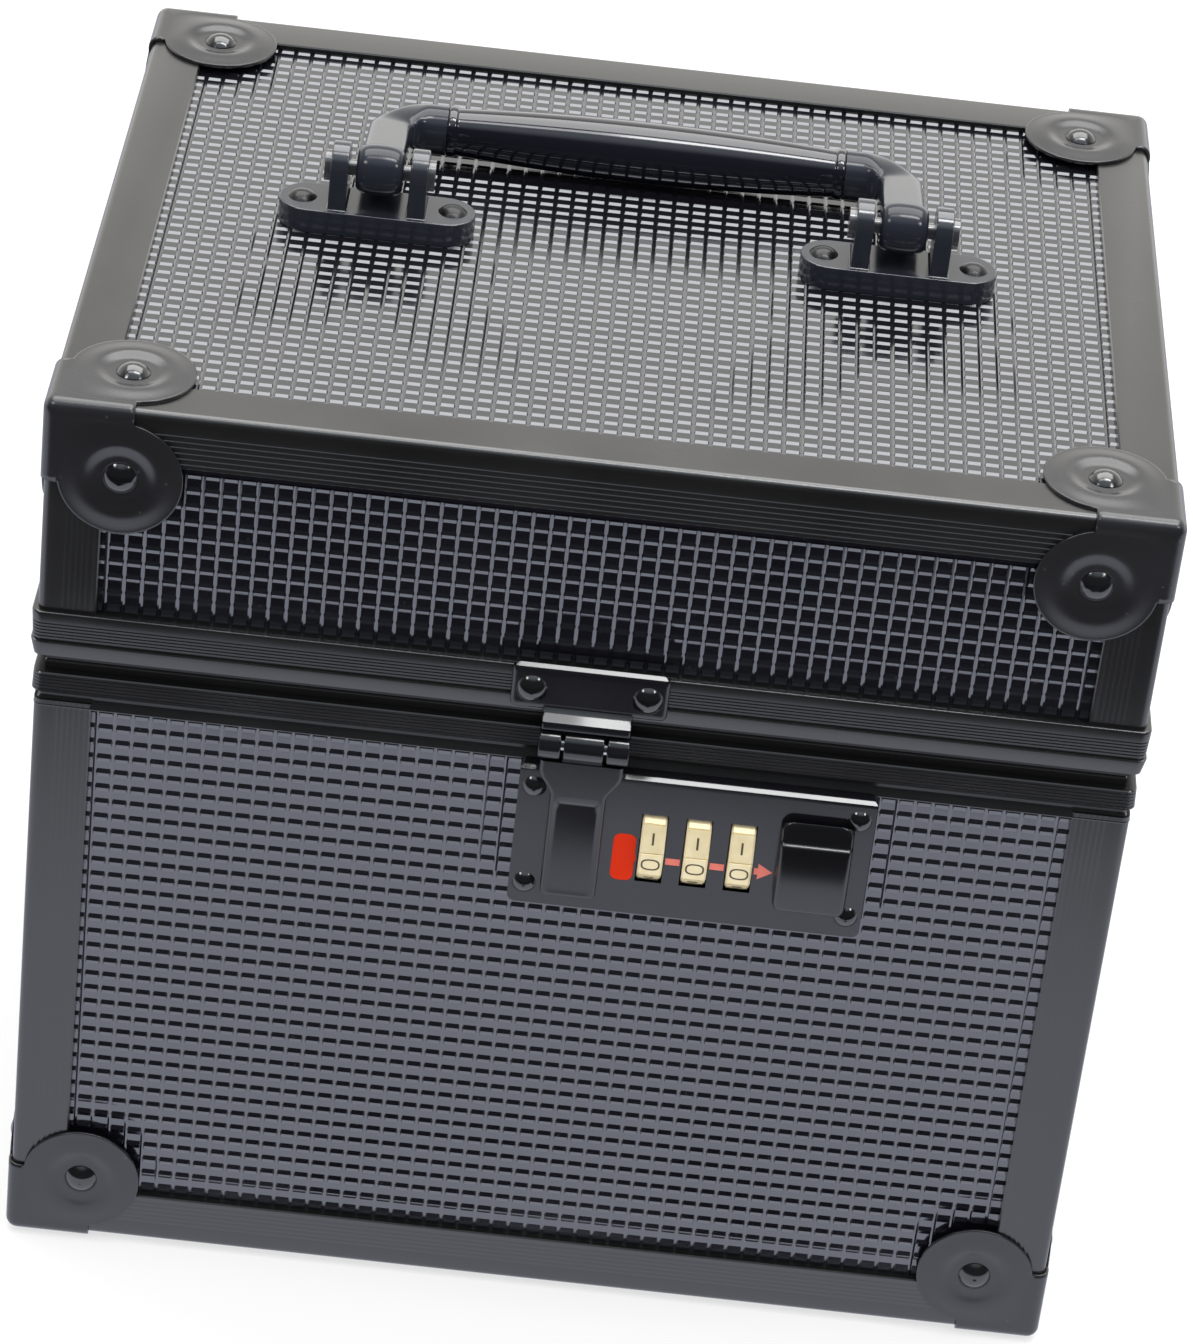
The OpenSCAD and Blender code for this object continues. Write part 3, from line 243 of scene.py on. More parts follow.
def fine_grain_group():
    """Object-space grain: a fine Grain, a broad Blotch and sparse Specks, each 0 to 1."""
    g = bpy.data.node_groups.new("fine_grain", "ShaderNodeTree")
    socket(g, "Grain Scale", "NodeSocketFloat", value=900.0)
    socket(g, "Blotch Scale", "NodeSocketFloat", value=40.0)
    socket(g, "Stretch", "NodeSocketVector", value=(1, 1, 1))
    for name in ("Grain", "Blotch", "Specks"):
        socket(g, name, "NodeSocketFloat", into=False)
    start, end = g.nodes.new("NodeGroupInput").outputs, g.nodes.new("NodeGroupOutput")
    coord = new_node(g, "ShaderNodeTexCoord").outputs["Object"]
    stretched = new_node(g, "ShaderNodeVectorMath", {0: coord, 1: start["Stretch"]}, operation="MULTIPLY").outputs[0]
    fine = new_node(g, "ShaderNodeTexNoise", {"Detail": 3.0, "Vector": stretched, "Scale": start["Grain Scale"]})
    broad = new_node(g, "ShaderNodeTexNoise", {"Detail": 2.0, "Vector": coord, "Scale": start["Blotch Scale"]})
    dots = new_node(g, "ShaderNodeTexVoronoi", {"Scale": 260.0, "Vector": coord})
    near = map_range(g, dots.outputs["Distance"], 0.10, 0.04)
    for name, source in (("Grain", fine.outputs["Fac"]), ("Blotch", broad.outputs["Fac"]), ("Specks", near)):
        g.links.new(source, end.inputs[name])
    return g


GRAIN = fine_grain_group()


def finish(name, low, high, rough, metallic=0.0, ior=1.5, bump=0.05, grain=900.0, blotch=40.0, stretch=(1, 1, 1),
           specks=0.0, sheen=0.0, tint=(1, 1, 1)):
    """A finish whose colour runs from low to high with the blotches and whose roughness runs over rough."""
    m = bpy.data.materials.new(name)
    m.use_nodes = True
    tree = m.node_tree
    shader = tree.nodes["Principled BSDF"].inputs
    shader["Metallic"].default_value = metallic
    shader["IOR"].default_value = ior
    shader["Specular Tint"].default_value = (*tint, 1)
    shader["Sheen Weight"].default_value = sheen
    surface = tree.nodes.new("ShaderNodeGroup")
    surface.node_tree = GRAIN
    for key, value in (("Grain Scale", grain), ("Blotch Scale", blotch), ("Stretch", stretch)):
        surface.inputs[key].default_value = value
    surface = surface.outputs
    colour = mix_colour(tree, surface["Blotch"], (*low, 1), (*high, 1))
    if specks:
        dust = math_node(tree, "MULTIPLY", surface["Specks"], specks)
        colour = mix_colour(tree, dust, colour, (0.35, 0.34, 0.33, 1))
    tree.links.new(colour, shader["Base Color"])
    tree.links.new(map_range(tree, surface["Blotch"], 0.3, 0.7, *rough), shader["Roughness"])
    if bump:
        raised = new_node(tree, "ShaderNodeBump", {"Strength": bump, "Distance": 0.0001, "Height": surface["Grain"]})
        tree.links.new(raised.outputs["Normal"], shader["Normal"])
    return m


FILM = finish("embossed_film", (0.003, 0.003, 0.005), (0.006, 0.006, 0.009), (0.07, 0.12), ior=2.33, bump=0.04,
              grain=500, specks=0.04, tint=(0.94, 0.96, 1.0))
TOP_FILM = finish("worn_top_film", (0.004, 0.004, 0.006), (0.008, 0.008, 0.011), (0.09, 0.15), ior=2.15, bump=0.04,
                  grain=500, specks=0.04, tint=(0.94, 0.96, 1.0))
ANODISED = finish("black_anodised", (0.005, 0.005, 0.005), (0.008, 0.008, 0.008), (0.22, 0.28), ior=1.85, bump=0.03,
                  grain=1500)
CAP_PAINT = finish("cap_satin_black", (0.010, 0.010, 0.012), (0.014, 0.014, 0.017), (0.22, 0.30), ior=1.70, bump=0.06,
                   grain=1300, specks=0.06)
RIVET_BLACK = finish("rivet_black", (0.003, 0.003, 0.004), (0.006, 0.006, 0.007), (0.12, 0.18), ior=1.9, bump=0.02)
LINING = finish("lining_felt", (0.012, 0.012, 0.014), (0.026, 0.026, 0.030), (0.85, 0.95), bump=0.6, grain=1400,
                sheen=0.4)
STEEL = finish("bright_steel", (0.52, 0.52, 0.54), (0.66, 0.66, 0.68), (0.18, 0.28), metallic=1.0, bump=0.04,
               stretch=(0.15, 1, 1))
BAIL = finish("bail_enamel", (0.013, 0.015, 0.022), (0.019, 0.022, 0.031), (0.14, 0.20), ior=1.46, bump=0.03)
BRACKET = finish("bracket_enamel", (0.013, 0.015, 0.022), (0.019, 0.022, 0.031), (0.14, 0.20), ior=1.85, bump=0.03)
PIN = finish("pin_black", (0.030, 0.031, 0.034), (0.05, 0.052, 0.056), (0.16, 0.24), ior=2.1, bump=0.02)
SCREW = finish("screw_black", (0.004, 0.004, 0.005), (0.008, 0.008, 0.009), (0.22, 0.30), ior=1.45, bump=0.02)
GRIP = finish("grip_gloss", (0.004, 0.004, 0.008), (0.006, 0.006, 0.011), (0.08, 0.12), ior=1.75, bump=0.03,
              grain=300)
LOCK = finish("lock_enamel", (0.005, 0.005, 0.007), (0.008, 0.008, 0.010), (0.13, 0.19), ior=1.70, bump=0.04,
              grain=700)
BUTTON = finish("button_gloss", (0.003, 0.003, 0.004), (0.005, 0.005, 0.006), (0.21, 0.27), ior=1.72, bump=0.03)
BRASS = finish("dial_brass", (0.72, 0.60, 0.33), (0.90, 0.80, 0.55), (0.34, 0.46), metallic=0.25, bump=0.10,
               grain=1600, stretch=(1, 0.15, 0.15), blotch=420)
DIGIT = finish("digit_ink", (0.060, 0.045, 0.020), (0.10, 0.075, 0.035), (0.45, 0.6), bump=0.0)


def index_enamel():
    """Red enamel on the bar, paler along the line and on the arrow."""
    m = finish("index_enamel", (0.60, 0.022, 0.001), (0.68, 0.030, 0.002), (0.35, 0.45), ior=1.2, bump=0.03)
    tree = m.node_tree
    colour = tree.nodes["Principled BSDF"].inputs["Base Color"]
    past_bar = map_range(tree, object_axes(tree)["X"], 0.0114, 0.0122)
    tree.links.new(mix_colour(tree, past_bar, colour.links[0].from_socket, (0.86, 0.24, 0.20, 1)), colour)
    return m


INDEX = index_enamel()

# Finish of each solid of the frame
NODES_OF_FINISH = (
    (FILM, ("base_front_panel", "base_back_panel", "base_side_panels", "base_bottom_panel",
            "lid_front_panel", "lid_back_panel", "lid_side_panels")),
    (TOP_FILM, ("lid_top_panel",)),
    (ANODISED, ("base_bottom_frame", "base_corner_posts", "base_rim",
                "lid_top_frame", "lid_corner_posts", "lid_rim")),
    (CAP_PAINT, ("base_corner_caps", "lid_corner_caps", "lock_cover", "hinge_base_leaves", "hinge_lid_leaves")),
    (RIVET_BLACK, ("base_cap_rivets", "lid_cap_rivets", "keeper_rivets", "lock_plate_rivets",
                   "hinge_base_rivets", "hinge_lid_rivets")),
    (LINING, ("base_lining", "lid_lining")),
    (STEEL, ("bracket_nuts", "hasp_pin", "dial_shaft", "detent_spring", "lock_bolt", "bolt_spring",
             "lock_cover_screws", "hinge_pins")),
    (SCREW, ("bracket_screws",)),
    (BRACKET, ("handle_brackets",)),
    (BAIL, ("handle_bail",)),
    (GRIP, ("handle_grip",)),
    (PIN, ("handle_pins",)),
    (LOCK, ("keeper_plate", "hasp", "lock_plate")),
    (INDEX, ("lock_index_line",)),
    (BRASS, ("dial_1", "dial_2", "dial_3")),
    (BUTTON, ("release_button",)),
)
for material, nodes in NODES_OF_FINISH:
    for node in nodes:
        mesh = frame["nodes"][node].data
        mesh.materials.clear()
        mesh.materials.append(material)


# -------- mesh helpers

def piece(name, bm, material, body, slot, replaces=(), angle=35.0, weld=0.002, recalc=True):
    """Makes a finished piece from a bmesh in millimetres, sharp where faces meet at more than the angle."""
    bmesh.ops.remove_doubles(bm, verts=bm.verts, dist=weld)
    if recalc:
        bmesh.ops.recalc_face_normals(bm, faces=bm.faces)
    bmesh.ops.scale(bm, vec=(MM, MM, MM), verts=bm.verts)
    mesh = mesh_from(bm, name)
    mesh.materials.append(material)
    mesh.polygons.foreach_set("use_smooth", [True] * len(mesh.polygons))
    mesh.set_sharp_from_angle(angle=math.radians(angle))
    obj = in_scene(name, mesh)
    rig.ride(obj, body)
    if replaces:
        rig.replaces(obj, *replaces)
    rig.slot(obj, slot)
    return obj


def grid_faces(bm, rows, close_rows=False, close_cols=False):
    """Faces between neighbouring rows of vertices."""
    n, m = len(rows), len(rows[0])
    for i in range(n if close_rows else n - 1):
        a, b = rows[i], rows[(i + 1) % n]
        for j in range(m if close_cols else m - 1):
            k = (j + 1) % m
            quad = [a[j], a[k], b[k], b[j]]
            if len({v.co.to_tuple(4) for v in quad}) > 2:
                try:
                    bm.faces.new(quad)
                except ValueError:
                    pass  # two rows that meet have this face already


def skin(bm, rows):
    """Closed rows of vertices joined to a tube, with a face over each end."""
    grid_faces(bm, rows, close_cols=True)
    bm.faces.new(rows[0])
    bm.faces.new(rows[-1])


def circle(count, offset=0.0):
    """Cosine and sine of evenly spaced turns."""
    turns = [2 * math.pi * (i + offset) / count for i in range(count)]
    return [(math.cos(t), math.sin(t)) for t in turns]


def clamped(t):
    """Kept within 0 and 1."""
    return min(max(t, 0.0), 1.0)


def eased(t):
    """0 to 1, clamped, with soft ends."""
    t = clamped(t)
    return t * t * (3 - 2 * t)


def signed_power(v, power):
    """Makes an oval squarer below 1, with the sign kept."""
    return math.copysign(abs(v) ** power, v)


# -------- extrusions and rims

def ribbed(start, end, count, depth=0.14):
    """(along, depth) points of fine grooves between start and end."""
    pitch = (end - start) / count
    points = []
    for i in range(count):
        a = start + i * pitch
        points += [(a + part * pitch, d) for part, d in ((0.30, 0.0), (0.42, depth), (0.58, depth), (0.70, 0.0))]
    return points


def leg_section(ribs, second_ribs):
    """Corner extrusion: (p, q) inwards from its two outer faces, each with its own ribs."""
    points = [(LEG, 0.25), (LEG - 0.25, 0.0)] + [(a, d) for a, d in reversed(ribs)]
    for i in range(7):
        t = math.radians(90 - 15 * i)
        points.append((EDGE_R - EDGE_R * math.cos(t), EDGE_R - EDGE_R * math.sin(t)))
    points += [(d, a) for a, d in second_ribs] + [(0.0, LEG - 0.25), (0.25, LEG)]
    points += [(LEG_T, LEG), (LEG_T, CORE), (CORE, CORE), (CORE, LEG_T), (LEG, LEG_T)]
    return points


FINE_RIBS = ribbed(3.7, 9.7, 6, 0.04)


def ring_loop(bm, u, z, proud, corner_r, arc=6):
    """One closed loop round the case at depth u, with the corner radius that the outer edge leaves there."""
    r = max(corner_r - (u + proud), 0.0)
    hx, hy = CASE_W / 2 - u - r, CASE_D / 2 - u - r
    loop = []
    for turn, (sx, sy) in enumerate(((1, 1), (-1, 1), (-1, -1), (1, -1))):
        for i in range(arc + 1):
            t = math.radians(90 * turn + 90 * i / arc)
            loop.append(bm.verts.new((sx * hx + r * math.cos(t), CASE_Y + sy * hy + r * math.sin(t), z)))
    return loop


def ring_piece(name, section, level, body, node, proud=0.0, corner_r=EDGE_R, extra=None):
    """A section of (depth, height over the level) swept round the case."""
    bm = bmesh.new()
    rows = [ring_loop(bm, depth, level + height, proud, corner_r) for depth, height in section]
    grid_faces(bm, rows, close_rows=True, close_cols=True)
    if extra:
        extra(bm)
    piece(name, bm, ANODISED, body, "frame", (node,), angle=28)


def block(bm, low, high):
    """A box from its low corner to its high corner."""
    made = bmesh.ops.create_cube(bm, size=1.0)["verts"]
    for v in made:
        v.co = Vector([low[i] + (v.co[i] + 0.5) * (high[i] - low[i]) for i in range(3)])


CORNERS = ((-1, -1), (-1, 1), (1, -1), (1, 1))


def corner_posts(name, body, node, z0, z1):
    """Upright extrusions at the four corners."""
    bm = bmesh.new()
    for sx, sy in CORNERS:
        skin(bm, [[bm.verts.new((sx * (CASE_W / 2 - p), CASE_Y + sy * (CASE_D / 2 - q), z))
                   for p, q in leg_section(FINE_RIBS, FINE_RIBS)] for z in (z0, z1)])
    piece(name, bm, ANODISED, body, "frame", (node,), angle=28)


top_section = [(p, -q) for p, q in leg_section([], ribbed(3.2, 9.8, 6))]
ring_piece("bottom_extrusions", leg_section(FINE_RIBS, FINE_RIBS), FRAME_LOW, "base", "base_bottom_frame")
ring_piece("top_extrusions", top_section, FRAME_TOP, "lid", "lid_top_frame")
corner_posts("base_posts", "base", "base_corner_posts", FRAME_LOW + LEG, BASE_POST_TOP)
corner_posts("lid_posts", "lid", "lid_corner_posts", LID_POST_LOW, FRAME_TOP - LEG)


def base_rim_section():
    """Rim of the base: a dark throat, a ribbed band and the step that the lid closes on."""
    lean = 0.05  # the face leans back towards its top
    band = [(-0.49 + lean * a + d, a - 5.8) for a, d in ribbed(0.35, 3.65, 5, 0.16)]
    return ([(LEG_T, -8.9), (-0.05, -8.9), (-0.1, -8.7), (0.9, -7.2), (0.9, -5.8), (-0.3, -5.8), (-0.49, -5.6)] + band
            + [(-0.3, -2.0), (-0.1, -1.8), (1.7, -1.8), (1.7, -0.35), (1.9, -0.15), (CORE, -0.15), (CORE, -7.7),
               (LEG_T, -7.7)])


def tongue(bm):
    """Closing tongue along the front and the sides."""
    out, inner, hinge_room = 3.1, 4.3, 16.0
    x, y = CASE_W / 2, CASE_D / 2
    low, high = PARTING - 0.5, PARTING + 3.2
    block(bm, (-x + out, CASE_Y - y + out, low), (x - out, CASE_Y - y + inner, high))
    for s in (-1, 1):
        a, b = sorted((s * (x - out), s * (x - inner)))
        block(bm, (a, CASE_Y - y + inner, low), (b, CASE_Y + y - hinge_room, high))


def lid_rim_section():
    """Rim of the lid: a bevel, a ribbed band, a rounded top and the slot for the tongue."""
    lean = 0.05  # the face leans out towards its top
    band = [(-0.72 - lean * (a - 5.7) + d, a) for a, d in ribbed(5.85, 9.2, 5, 0.18)]
    top = [(-0.55 - 0.43 * math.cos(math.radians(t)), 10.77 + 0.43 * math.sin(math.radians(t)))
           for t in (0, 18, 36, 54, 72, 90)]
    return ([(1.7, 0.15), (1.7, 1.8), (-0.15, 1.8), (-0.36, 1.95), (-0.98, 4.85), (-0.95, 5.05), (-0.5, 5.2),
             (-0.5, 5.6), (-0.72, 5.7)] + band + top
            + [(LEG_T, 11.2), (LEG_T, 5.0), (CORE, 5.0), (CORE, 0.15), (4.7, 0.15), (4.7, 3.8), (2.7, 3.8),
               (2.7, 0.15)])


ring_piece("base_closing_rim", base_rim_section(), PARTING, "base", "base_rim", proud=0.5, corner_r=2.0, extra=tongue)
ring_piece("lid_closing_rim", lid_rim_section(), PARTING, "lid", "lid_rim", proud=1.0, corner_r=2.0)


# -------- corner caps

# Sheet thickness, rivet's distance from both bends, disc radius, strip length along a bend, outer bend radius
CAP_T, CAP_C, CAP_R, STRIP_L, BEND_R = 0.7, 13.3, 11.0, 15.2, 2.2
BEND = BEND_R - CAP_T  # where a flat face ends and its bend starts
BEND_STEPS = [STRIP_L + (BEND - STRIP_L) * i / 14 for i in range(15)]
CAP_STEPS = [2.4, 3.4, 4.2, 4.55, 4.9, 5.3, 5.7, 6.1, 6.5, 7.0, 7.6, 8.0, 8.3, 8.65, 9.0, 9.4, 9.8, 10.1, 10.4,
             10.7, 11.0]
CAP_MARKS = [(0.0, 0.42), (4.2, 0.42), (7.0, 1.02), (CAP_R, 0.64)]  # distance from the rivet, height over the frame


def cap_height(d):
    """Height of the pressed face over the frame at distance d from the rivet."""
    for (a, low), (b, high) in zip(CAP_MARKS, CAP_MARKS[1:]):
        if d <= b:
            return low + (high - low) * eased((d - a) / (b - a))
    return CAP_T


def cap_rays():
    """Directions from the rivet in degrees, each with the outline's distance and whether the outline is free."""
    notch = math.degrees(math.atan2(-math.sqrt(CAP_R ** 2 - (STRIP_L - CAP_C) ** 2), STRIP_L - CAP_C)) % 360
    # the free arc runs from the first notch anticlockwise to its mirror image
    span = (90 - 2 * notch) % 360
    rays = [((notch + span * i / 44) % 360, CAP_R, True) for i in range(45)]
    # straight edges along the two bends
    for a, b in [(BEND, b) for b in BEND_STEPS] + [(a, BEND) for a in reversed(BEND_STEPS[:-1])]:
        rays.append((math.degrees(math.atan2(b - CAP_C, a - CAP_C)) % 360, math.hypot(a - CAP_C, b - CAP_C), False))
    return rays


def cap_face_rows():
    """Rows of (a, b, height) from the rivet's dish to the outline."""
    rows = []
    for angle, reach, free in cap_rays():
        c, s = math.cos(math.radians(angle)), math.sin(math.radians(angle))
        squareness = (abs(c) ** 5 + abs(s) ** 5) ** 0.2 if c < 0 and s < 0 else 1.0
        row = []
        for d in CAP_STEPS:
            outer = clamped((d - 7.2) / 3.4)  # the ring is round, the flange follows the corner
            stretch = 1 + (squareness - 1) * outer
            r = min(d / stretch, reach)
            row.append((CAP_C + r * c, CAP_C + r * s, cap_height(min(d, r * stretch))))
        row.append((CAP_C + reach * c, CAP_C + reach * s, cap_height(CAP_R) if free else CAP_T))
        rows.append(row)
    return rows


def corner_cap(bm, place):
    """One cap: three pressed faces, three bends and the rounded corner. place maps local to case coordinates."""
    def new(p):
        return bm.verts.new(place(p))
    turned = [lambda a, b, h: (a, b, -h), lambda a, b, h: (b, -h, a), lambda a, b, h: (-h, a, b)]
    for to in turned:
        rows = [[new(to(*p)) for p in row] for row in cap_face_rows()]
        grid_faces(bm, rows, close_rows=True)
    # bends: along each edge of the corner
    arc = 6
    for axis in range(3):
        rows = []
        for along in BEND_STEPS:
            row = []
            for i in range(arc + 1):
                t = math.radians(90 * i / arc)
                p, q = BEND - BEND_R * math.cos(t), BEND - BEND_R * math.sin(t)
                row.append(new([(along, p, q), (p, along, q), (p, q, along)][axis]))
            rows.append(row)
        grid_faces(bm, rows)
    # rounded corner
    ball = {}
    for i in range(arc + 1):
        for j in range(arc + 1 - i):
            k = arc - i - j
            v = Vector([math.sin(math.radians(90 * t / arc)) for t in (i, j, k)]).normalized()
            ball[i, j] = new(Vector((BEND, BEND, BEND)) - v * BEND_R)
    for i in range(arc):
        for j in range(arc - i):
            bm.faces.new((ball[i, j], ball[i + 1, j], ball[i, j + 1]))
            if i + j < arc - 1:
                bm.faces.new((ball[i + 1, j], ball[i + 1, j + 1], ball[i, j + 1]))


def corner_caps(name, body, node, top):
    """The four caps round the top or the bottom of the case."""
    bm = bmesh.new()
    middle = Vector((0, CASE_Y, (FRAME_LOW + FRAME_TOP) / 2))
    for sx, sy in CORNERS:
        one = bmesh.new()

        def place(p, sx=sx, sy=sy):
            z = FRAME_TOP - p[2] if top else FRAME_LOW + p[2]
            return Vector((sx * (CASE_W / 2 - p[0]), CASE_Y + sy * (CASE_D / 2 - p[1]), z))

        corner_cap(one, place)
        bmesh.ops.remove_doubles(one, verts=one.verts, dist=0.01)
        bmesh.ops.recalc_face_normals(one, faces=one.faces)
        if sum(f.normal.dot(f.calc_center_median() - middle) * f.calc_area() for f in one.faces) < 0:
            bmesh.ops.reverse_faces(one, faces=one.faces)
        absorb(bm, one)
    obj = piece(name, bm, CAP_PAINT, body, "cap", (node,), angle=40, weld=0.0005, recalc=False)
    wall = obj.modifiers.new("sheet", "SOLIDIFY")
    wall.thickness = (CAP_T - 0.05) * MM  # clear of the frame
    wall.offset = -1.0
    wall.use_even_offset = False


corner_caps("base_pressed_caps", "base", "base_corner_caps", False)
corner_caps("lid_pressed_caps", "lid", "lid_corner_caps", True)


# -------- embossed sheets

CELL_STEPS = 5  # grid lines in a cell: its crest and two on each side


def ridge_steps_group():
    """Turns a step number along one side of the sheet into a place and the steps left to the nearest crest."""
    g = bpy.data.node_groups.new("ridge_steps", "GeometryNodeTree")
    for name in ("Step", "Pitch", "First Step", "Second Step"):
        socket(g, name, "NodeSocketFloat")
    for name in ("Place", "From Crest"):
        socket(g, name, "NodeSocketFloat", into=False)
    m = partial(math_node, g)
    start, end = g.nodes.new("NodeGroupInput"), g.nodes.new("NodeGroupOutput")
    step, pitch, first, second = (start.outputs[k] for k in ("Step", "Pitch", "First Step", "Second Step"))
    cell = m("FLOOR", m("DIVIDE", m("ADD", step, 0.5), CELL_STEPS))
    rest = m("SUBTRACT", step, m("MULTIPLY", cell, CELL_STEPS))
    back = m("GREATER_THAN", rest, CELL_STEPS / 2)
    from_crest = m("MINIMUM", rest, m("SUBTRACT", CELL_STEPS, rest))
    near = m("MULTIPLY", m("MINIMUM", from_crest, 1), first)
    far = m("MULTIPLY", m("MAXIMUM", m("SUBTRACT", from_crest, 1), 0), m("SUBTRACT", second, first))
    side = m("SUBTRACT", 1, m("MULTIPLY", back, 2))
    crest = m("MULTIPLY", m("ADD", cell, back), pitch)
    away = m("MULTIPLY", m("ADD", near, far), side)
    g.links.new(m("ADD", crest, away), end.inputs["Place"])
    g.links.new(from_crest, end.inputs["From Crest"])
    return g


SHEET_SIZES = {"Pitch": PITCH, "Row Pitch": PITCH, "Ridge Half Width": RIDGE_HALF, "Ridge Height": RIDGE_H,
               "Rib Half Width": RIB_HALF, "Rib Height": RIB_H, "Ramp": RAMP}


def embossed_sheet_tree():
    """A sheet with broad ridges one way, narrow ribs the other and flat pits, without what lies in the cut box."""
    g = bpy.data.node_groups.new("embossed_sheet", "GeometryNodeTree")
    socket(g, "Geometry", "NodeSocketGeometry", into=False)
    for name, value in (("Cells Across", 10), ("Cells Up", 10)):
        socket(g, name, "NodeSocketInt", value=value)
    for name, value in SHEET_SIZES.items():
        socket(g, name, "NodeSocketFloat", value=value * MM)
    for name in ("Turn", "Place", "Cut Low", "Cut High"):
        socket(g, name, "NodeSocketVector")
    socket(g, "Finish", "NodeSocketMaterial")
    m, link = partial(math_node, g), g.links.new
    value, end = g.nodes.new("NodeGroupInput").outputs, g.nodes.new("NodeGroupOutput")
    sheet = new_node(g, "GeometryNodeMeshGrid")
    position = new_node(g, "GeometryNodeInputPosition").outputs[0]
    axes = new_node(g, "ShaderNodeSeparateXYZ", {0: position}).outputs
    rib_foot = m("ADD", value["Rib Half Width"], value["Ramp"])
    half_ridge = m("MULTIPLY", value["Ridge Half Width"], 0.5)
    steps = {"X": (value["Cells Across"], value["Pitch"], value["Rib Half Width"], rib_foot),
             "Y": (value["Cells Up"], value["Row Pitch"], half_ridge, value["Ridge Half Width"])}
    places, from_crest = {}, {}
    for side, (cells, pitch, first, second) in steps.items():
        size = m("MULTIPLY", cells, CELL_STEPS)
        link(size, sheet.inputs["Size " + side])
        link(m("ADD", size, 1), sheet.inputs["Vertices " + side])
        step = m("ROUND", m("ADD", axes[side], m("MULTIPLY", size, 0.5)))
        ridge = g.nodes.new("GeometryNodeGroup")
        ridge.node_tree = RIDGES
        for name, source in (("Step", step), ("Pitch", pitch), ("First Step", first), ("Second Step", second)):
            link(source, ridge.inputs[name])
        whole = m("MULTIPLY", m("MULTIPLY", cells, 0.5), pitch)
        places[side] = m("SUBTRACT", ridge.outputs["Place"], whole)
        from_crest[side] = ridge.outputs["From Crest"]
    # ribs stand by themselves, ridges rise between them
    rib = m("SUBTRACT", 1, m("MINIMUM", from_crest["X"], 1))
    between = m("MAXIMUM", m("SUBTRACT", from_crest["X"], 1), 0)
    ridge_part = m("SUBTRACT", 1, m("MULTIPLY", from_crest["Y"], 0.5))
    raised = m("MULTIPLY", m("MULTIPLY", ridge_part, between), value["Ridge Height"])
    height = m("ADD", m("MULTIPLY", rib, value["Rib Height"]), raised)

    def then(kind, geometry, inputs=None, **settings):
        """The geometry after one more node."""
        return new_node(g, kind, {"Geometry": geometry, **(inputs or {})}, **settings).outputs["Geometry"]

    joined = new_node(g, "ShaderNodeCombineXYZ", {"X": places["X"], "Y": places["Y"], "Z": height}).outputs[0]
    shaped = then("GeometryNodeSetPosition", sheet.outputs["Mesh"], {"Position": joined})
    flat = then("GeometryNodeSetShadeSmooth", shaped, {"Shade Smooth": False})
    moved = then("GeometryNodeTransform", flat, {"Rotation": value["Turn"], "Translation": value["Place"]})
    # the part inside the cut box goes
    inside = 1.0
    for name, op in (("Cut Low", "GREATER_THAN"), ("Cut High", "LESS_THAN")):
        limit = new_node(g, "ShaderNodeSeparateXYZ", {0: value[name]}).outputs
        for axis in "XYZ":
            inside = m("MULTIPLY", inside, m(op, axes[axis], limit[axis]))
    cut = then("GeometryNodeDeleteGeometry", moved, {"Selection": m("GREATER_THAN", inside, 0.99)}, domain="FACE")
    real = then("GeometryNodeRealizeInstances", cut)
    link(then("GeometryNodeSetMaterial", real, {"Material": value["Finish"]}), end.inputs["Geometry"])
    return g


RIDGES = ridge_steps_group()
SHEET = embossed_sheet_tree()


def sheet_mesh(values):
    """The worked-out mesh of one embossed sheet."""
    holder = in_scene("sheet_holder", bpy.data.meshes.new("sheet_holder"))
    modifier = holder.modifiers.new("embossed_sheet", "NODES")
    modifier.node_group = SHEET
    for item in SHEET.interface.items_tree:
        if item.in_out == "INPUT" and item.name in values:
            modifier[item.identifier] = values[item.name]
    return evaluated_mesh(holder)


NO_CUT = ((1, 1, 1), (0, 0, 0))  # low above high, so nothing lies in it


def cells_and_shift(size, crest, pitch):
    """Cells needed to cover a side, and the shift that brings a crest to the given distance from the middle."""
    cells = math.ceil(size / pitch)
    shift = (crest + cells * pitch / 2) % pitch
    if shift > pitch / 2:
        shift -= pitch
    if cells * pitch < size + 2 * abs(shift):
        cells += 2
    return cells, shift


def embossed_sheet(name, body, wide, tall, turn, place, cut=NO_CUT, crests=(0.0, 0.0), film=FILM, rows=PITCH,
                   ridge_half=RIDGE_HALF):
    """One embossed sheet, wide by tall, turned and placed; crests are the ridge lines nearest its middle."""
    across, shift_x = cells_and_shift(wide, crests[0], PITCH)
    up, shift_y = cells_and_shift(tall, crests[1], rows)
    shift = Euler(turn).to_matrix() @ Vector((shift_x, shift_y, 0))
    sizes = {**SHEET_SIZES, "Row Pitch": rows, "Ridge Half Width": ridge_half}
    values = {size: length * MM for size, length in sizes.items()}
    values.update({"Cells Across": across, "Cells Up": up, "Turn": turn, "Finish": film,
                   "Place": [v * MM for v in Vector(place) + shift],
                   "Cut Low": [v * MM for v in cut[0]], "Cut High": [v * MM for v in cut[1]]})
    mesh = sheet_mesh(values)
    mesh.name = name
    obj = in_scene(name, mesh)
    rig.ride(obj, body)
    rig.slot(obj, "panel")


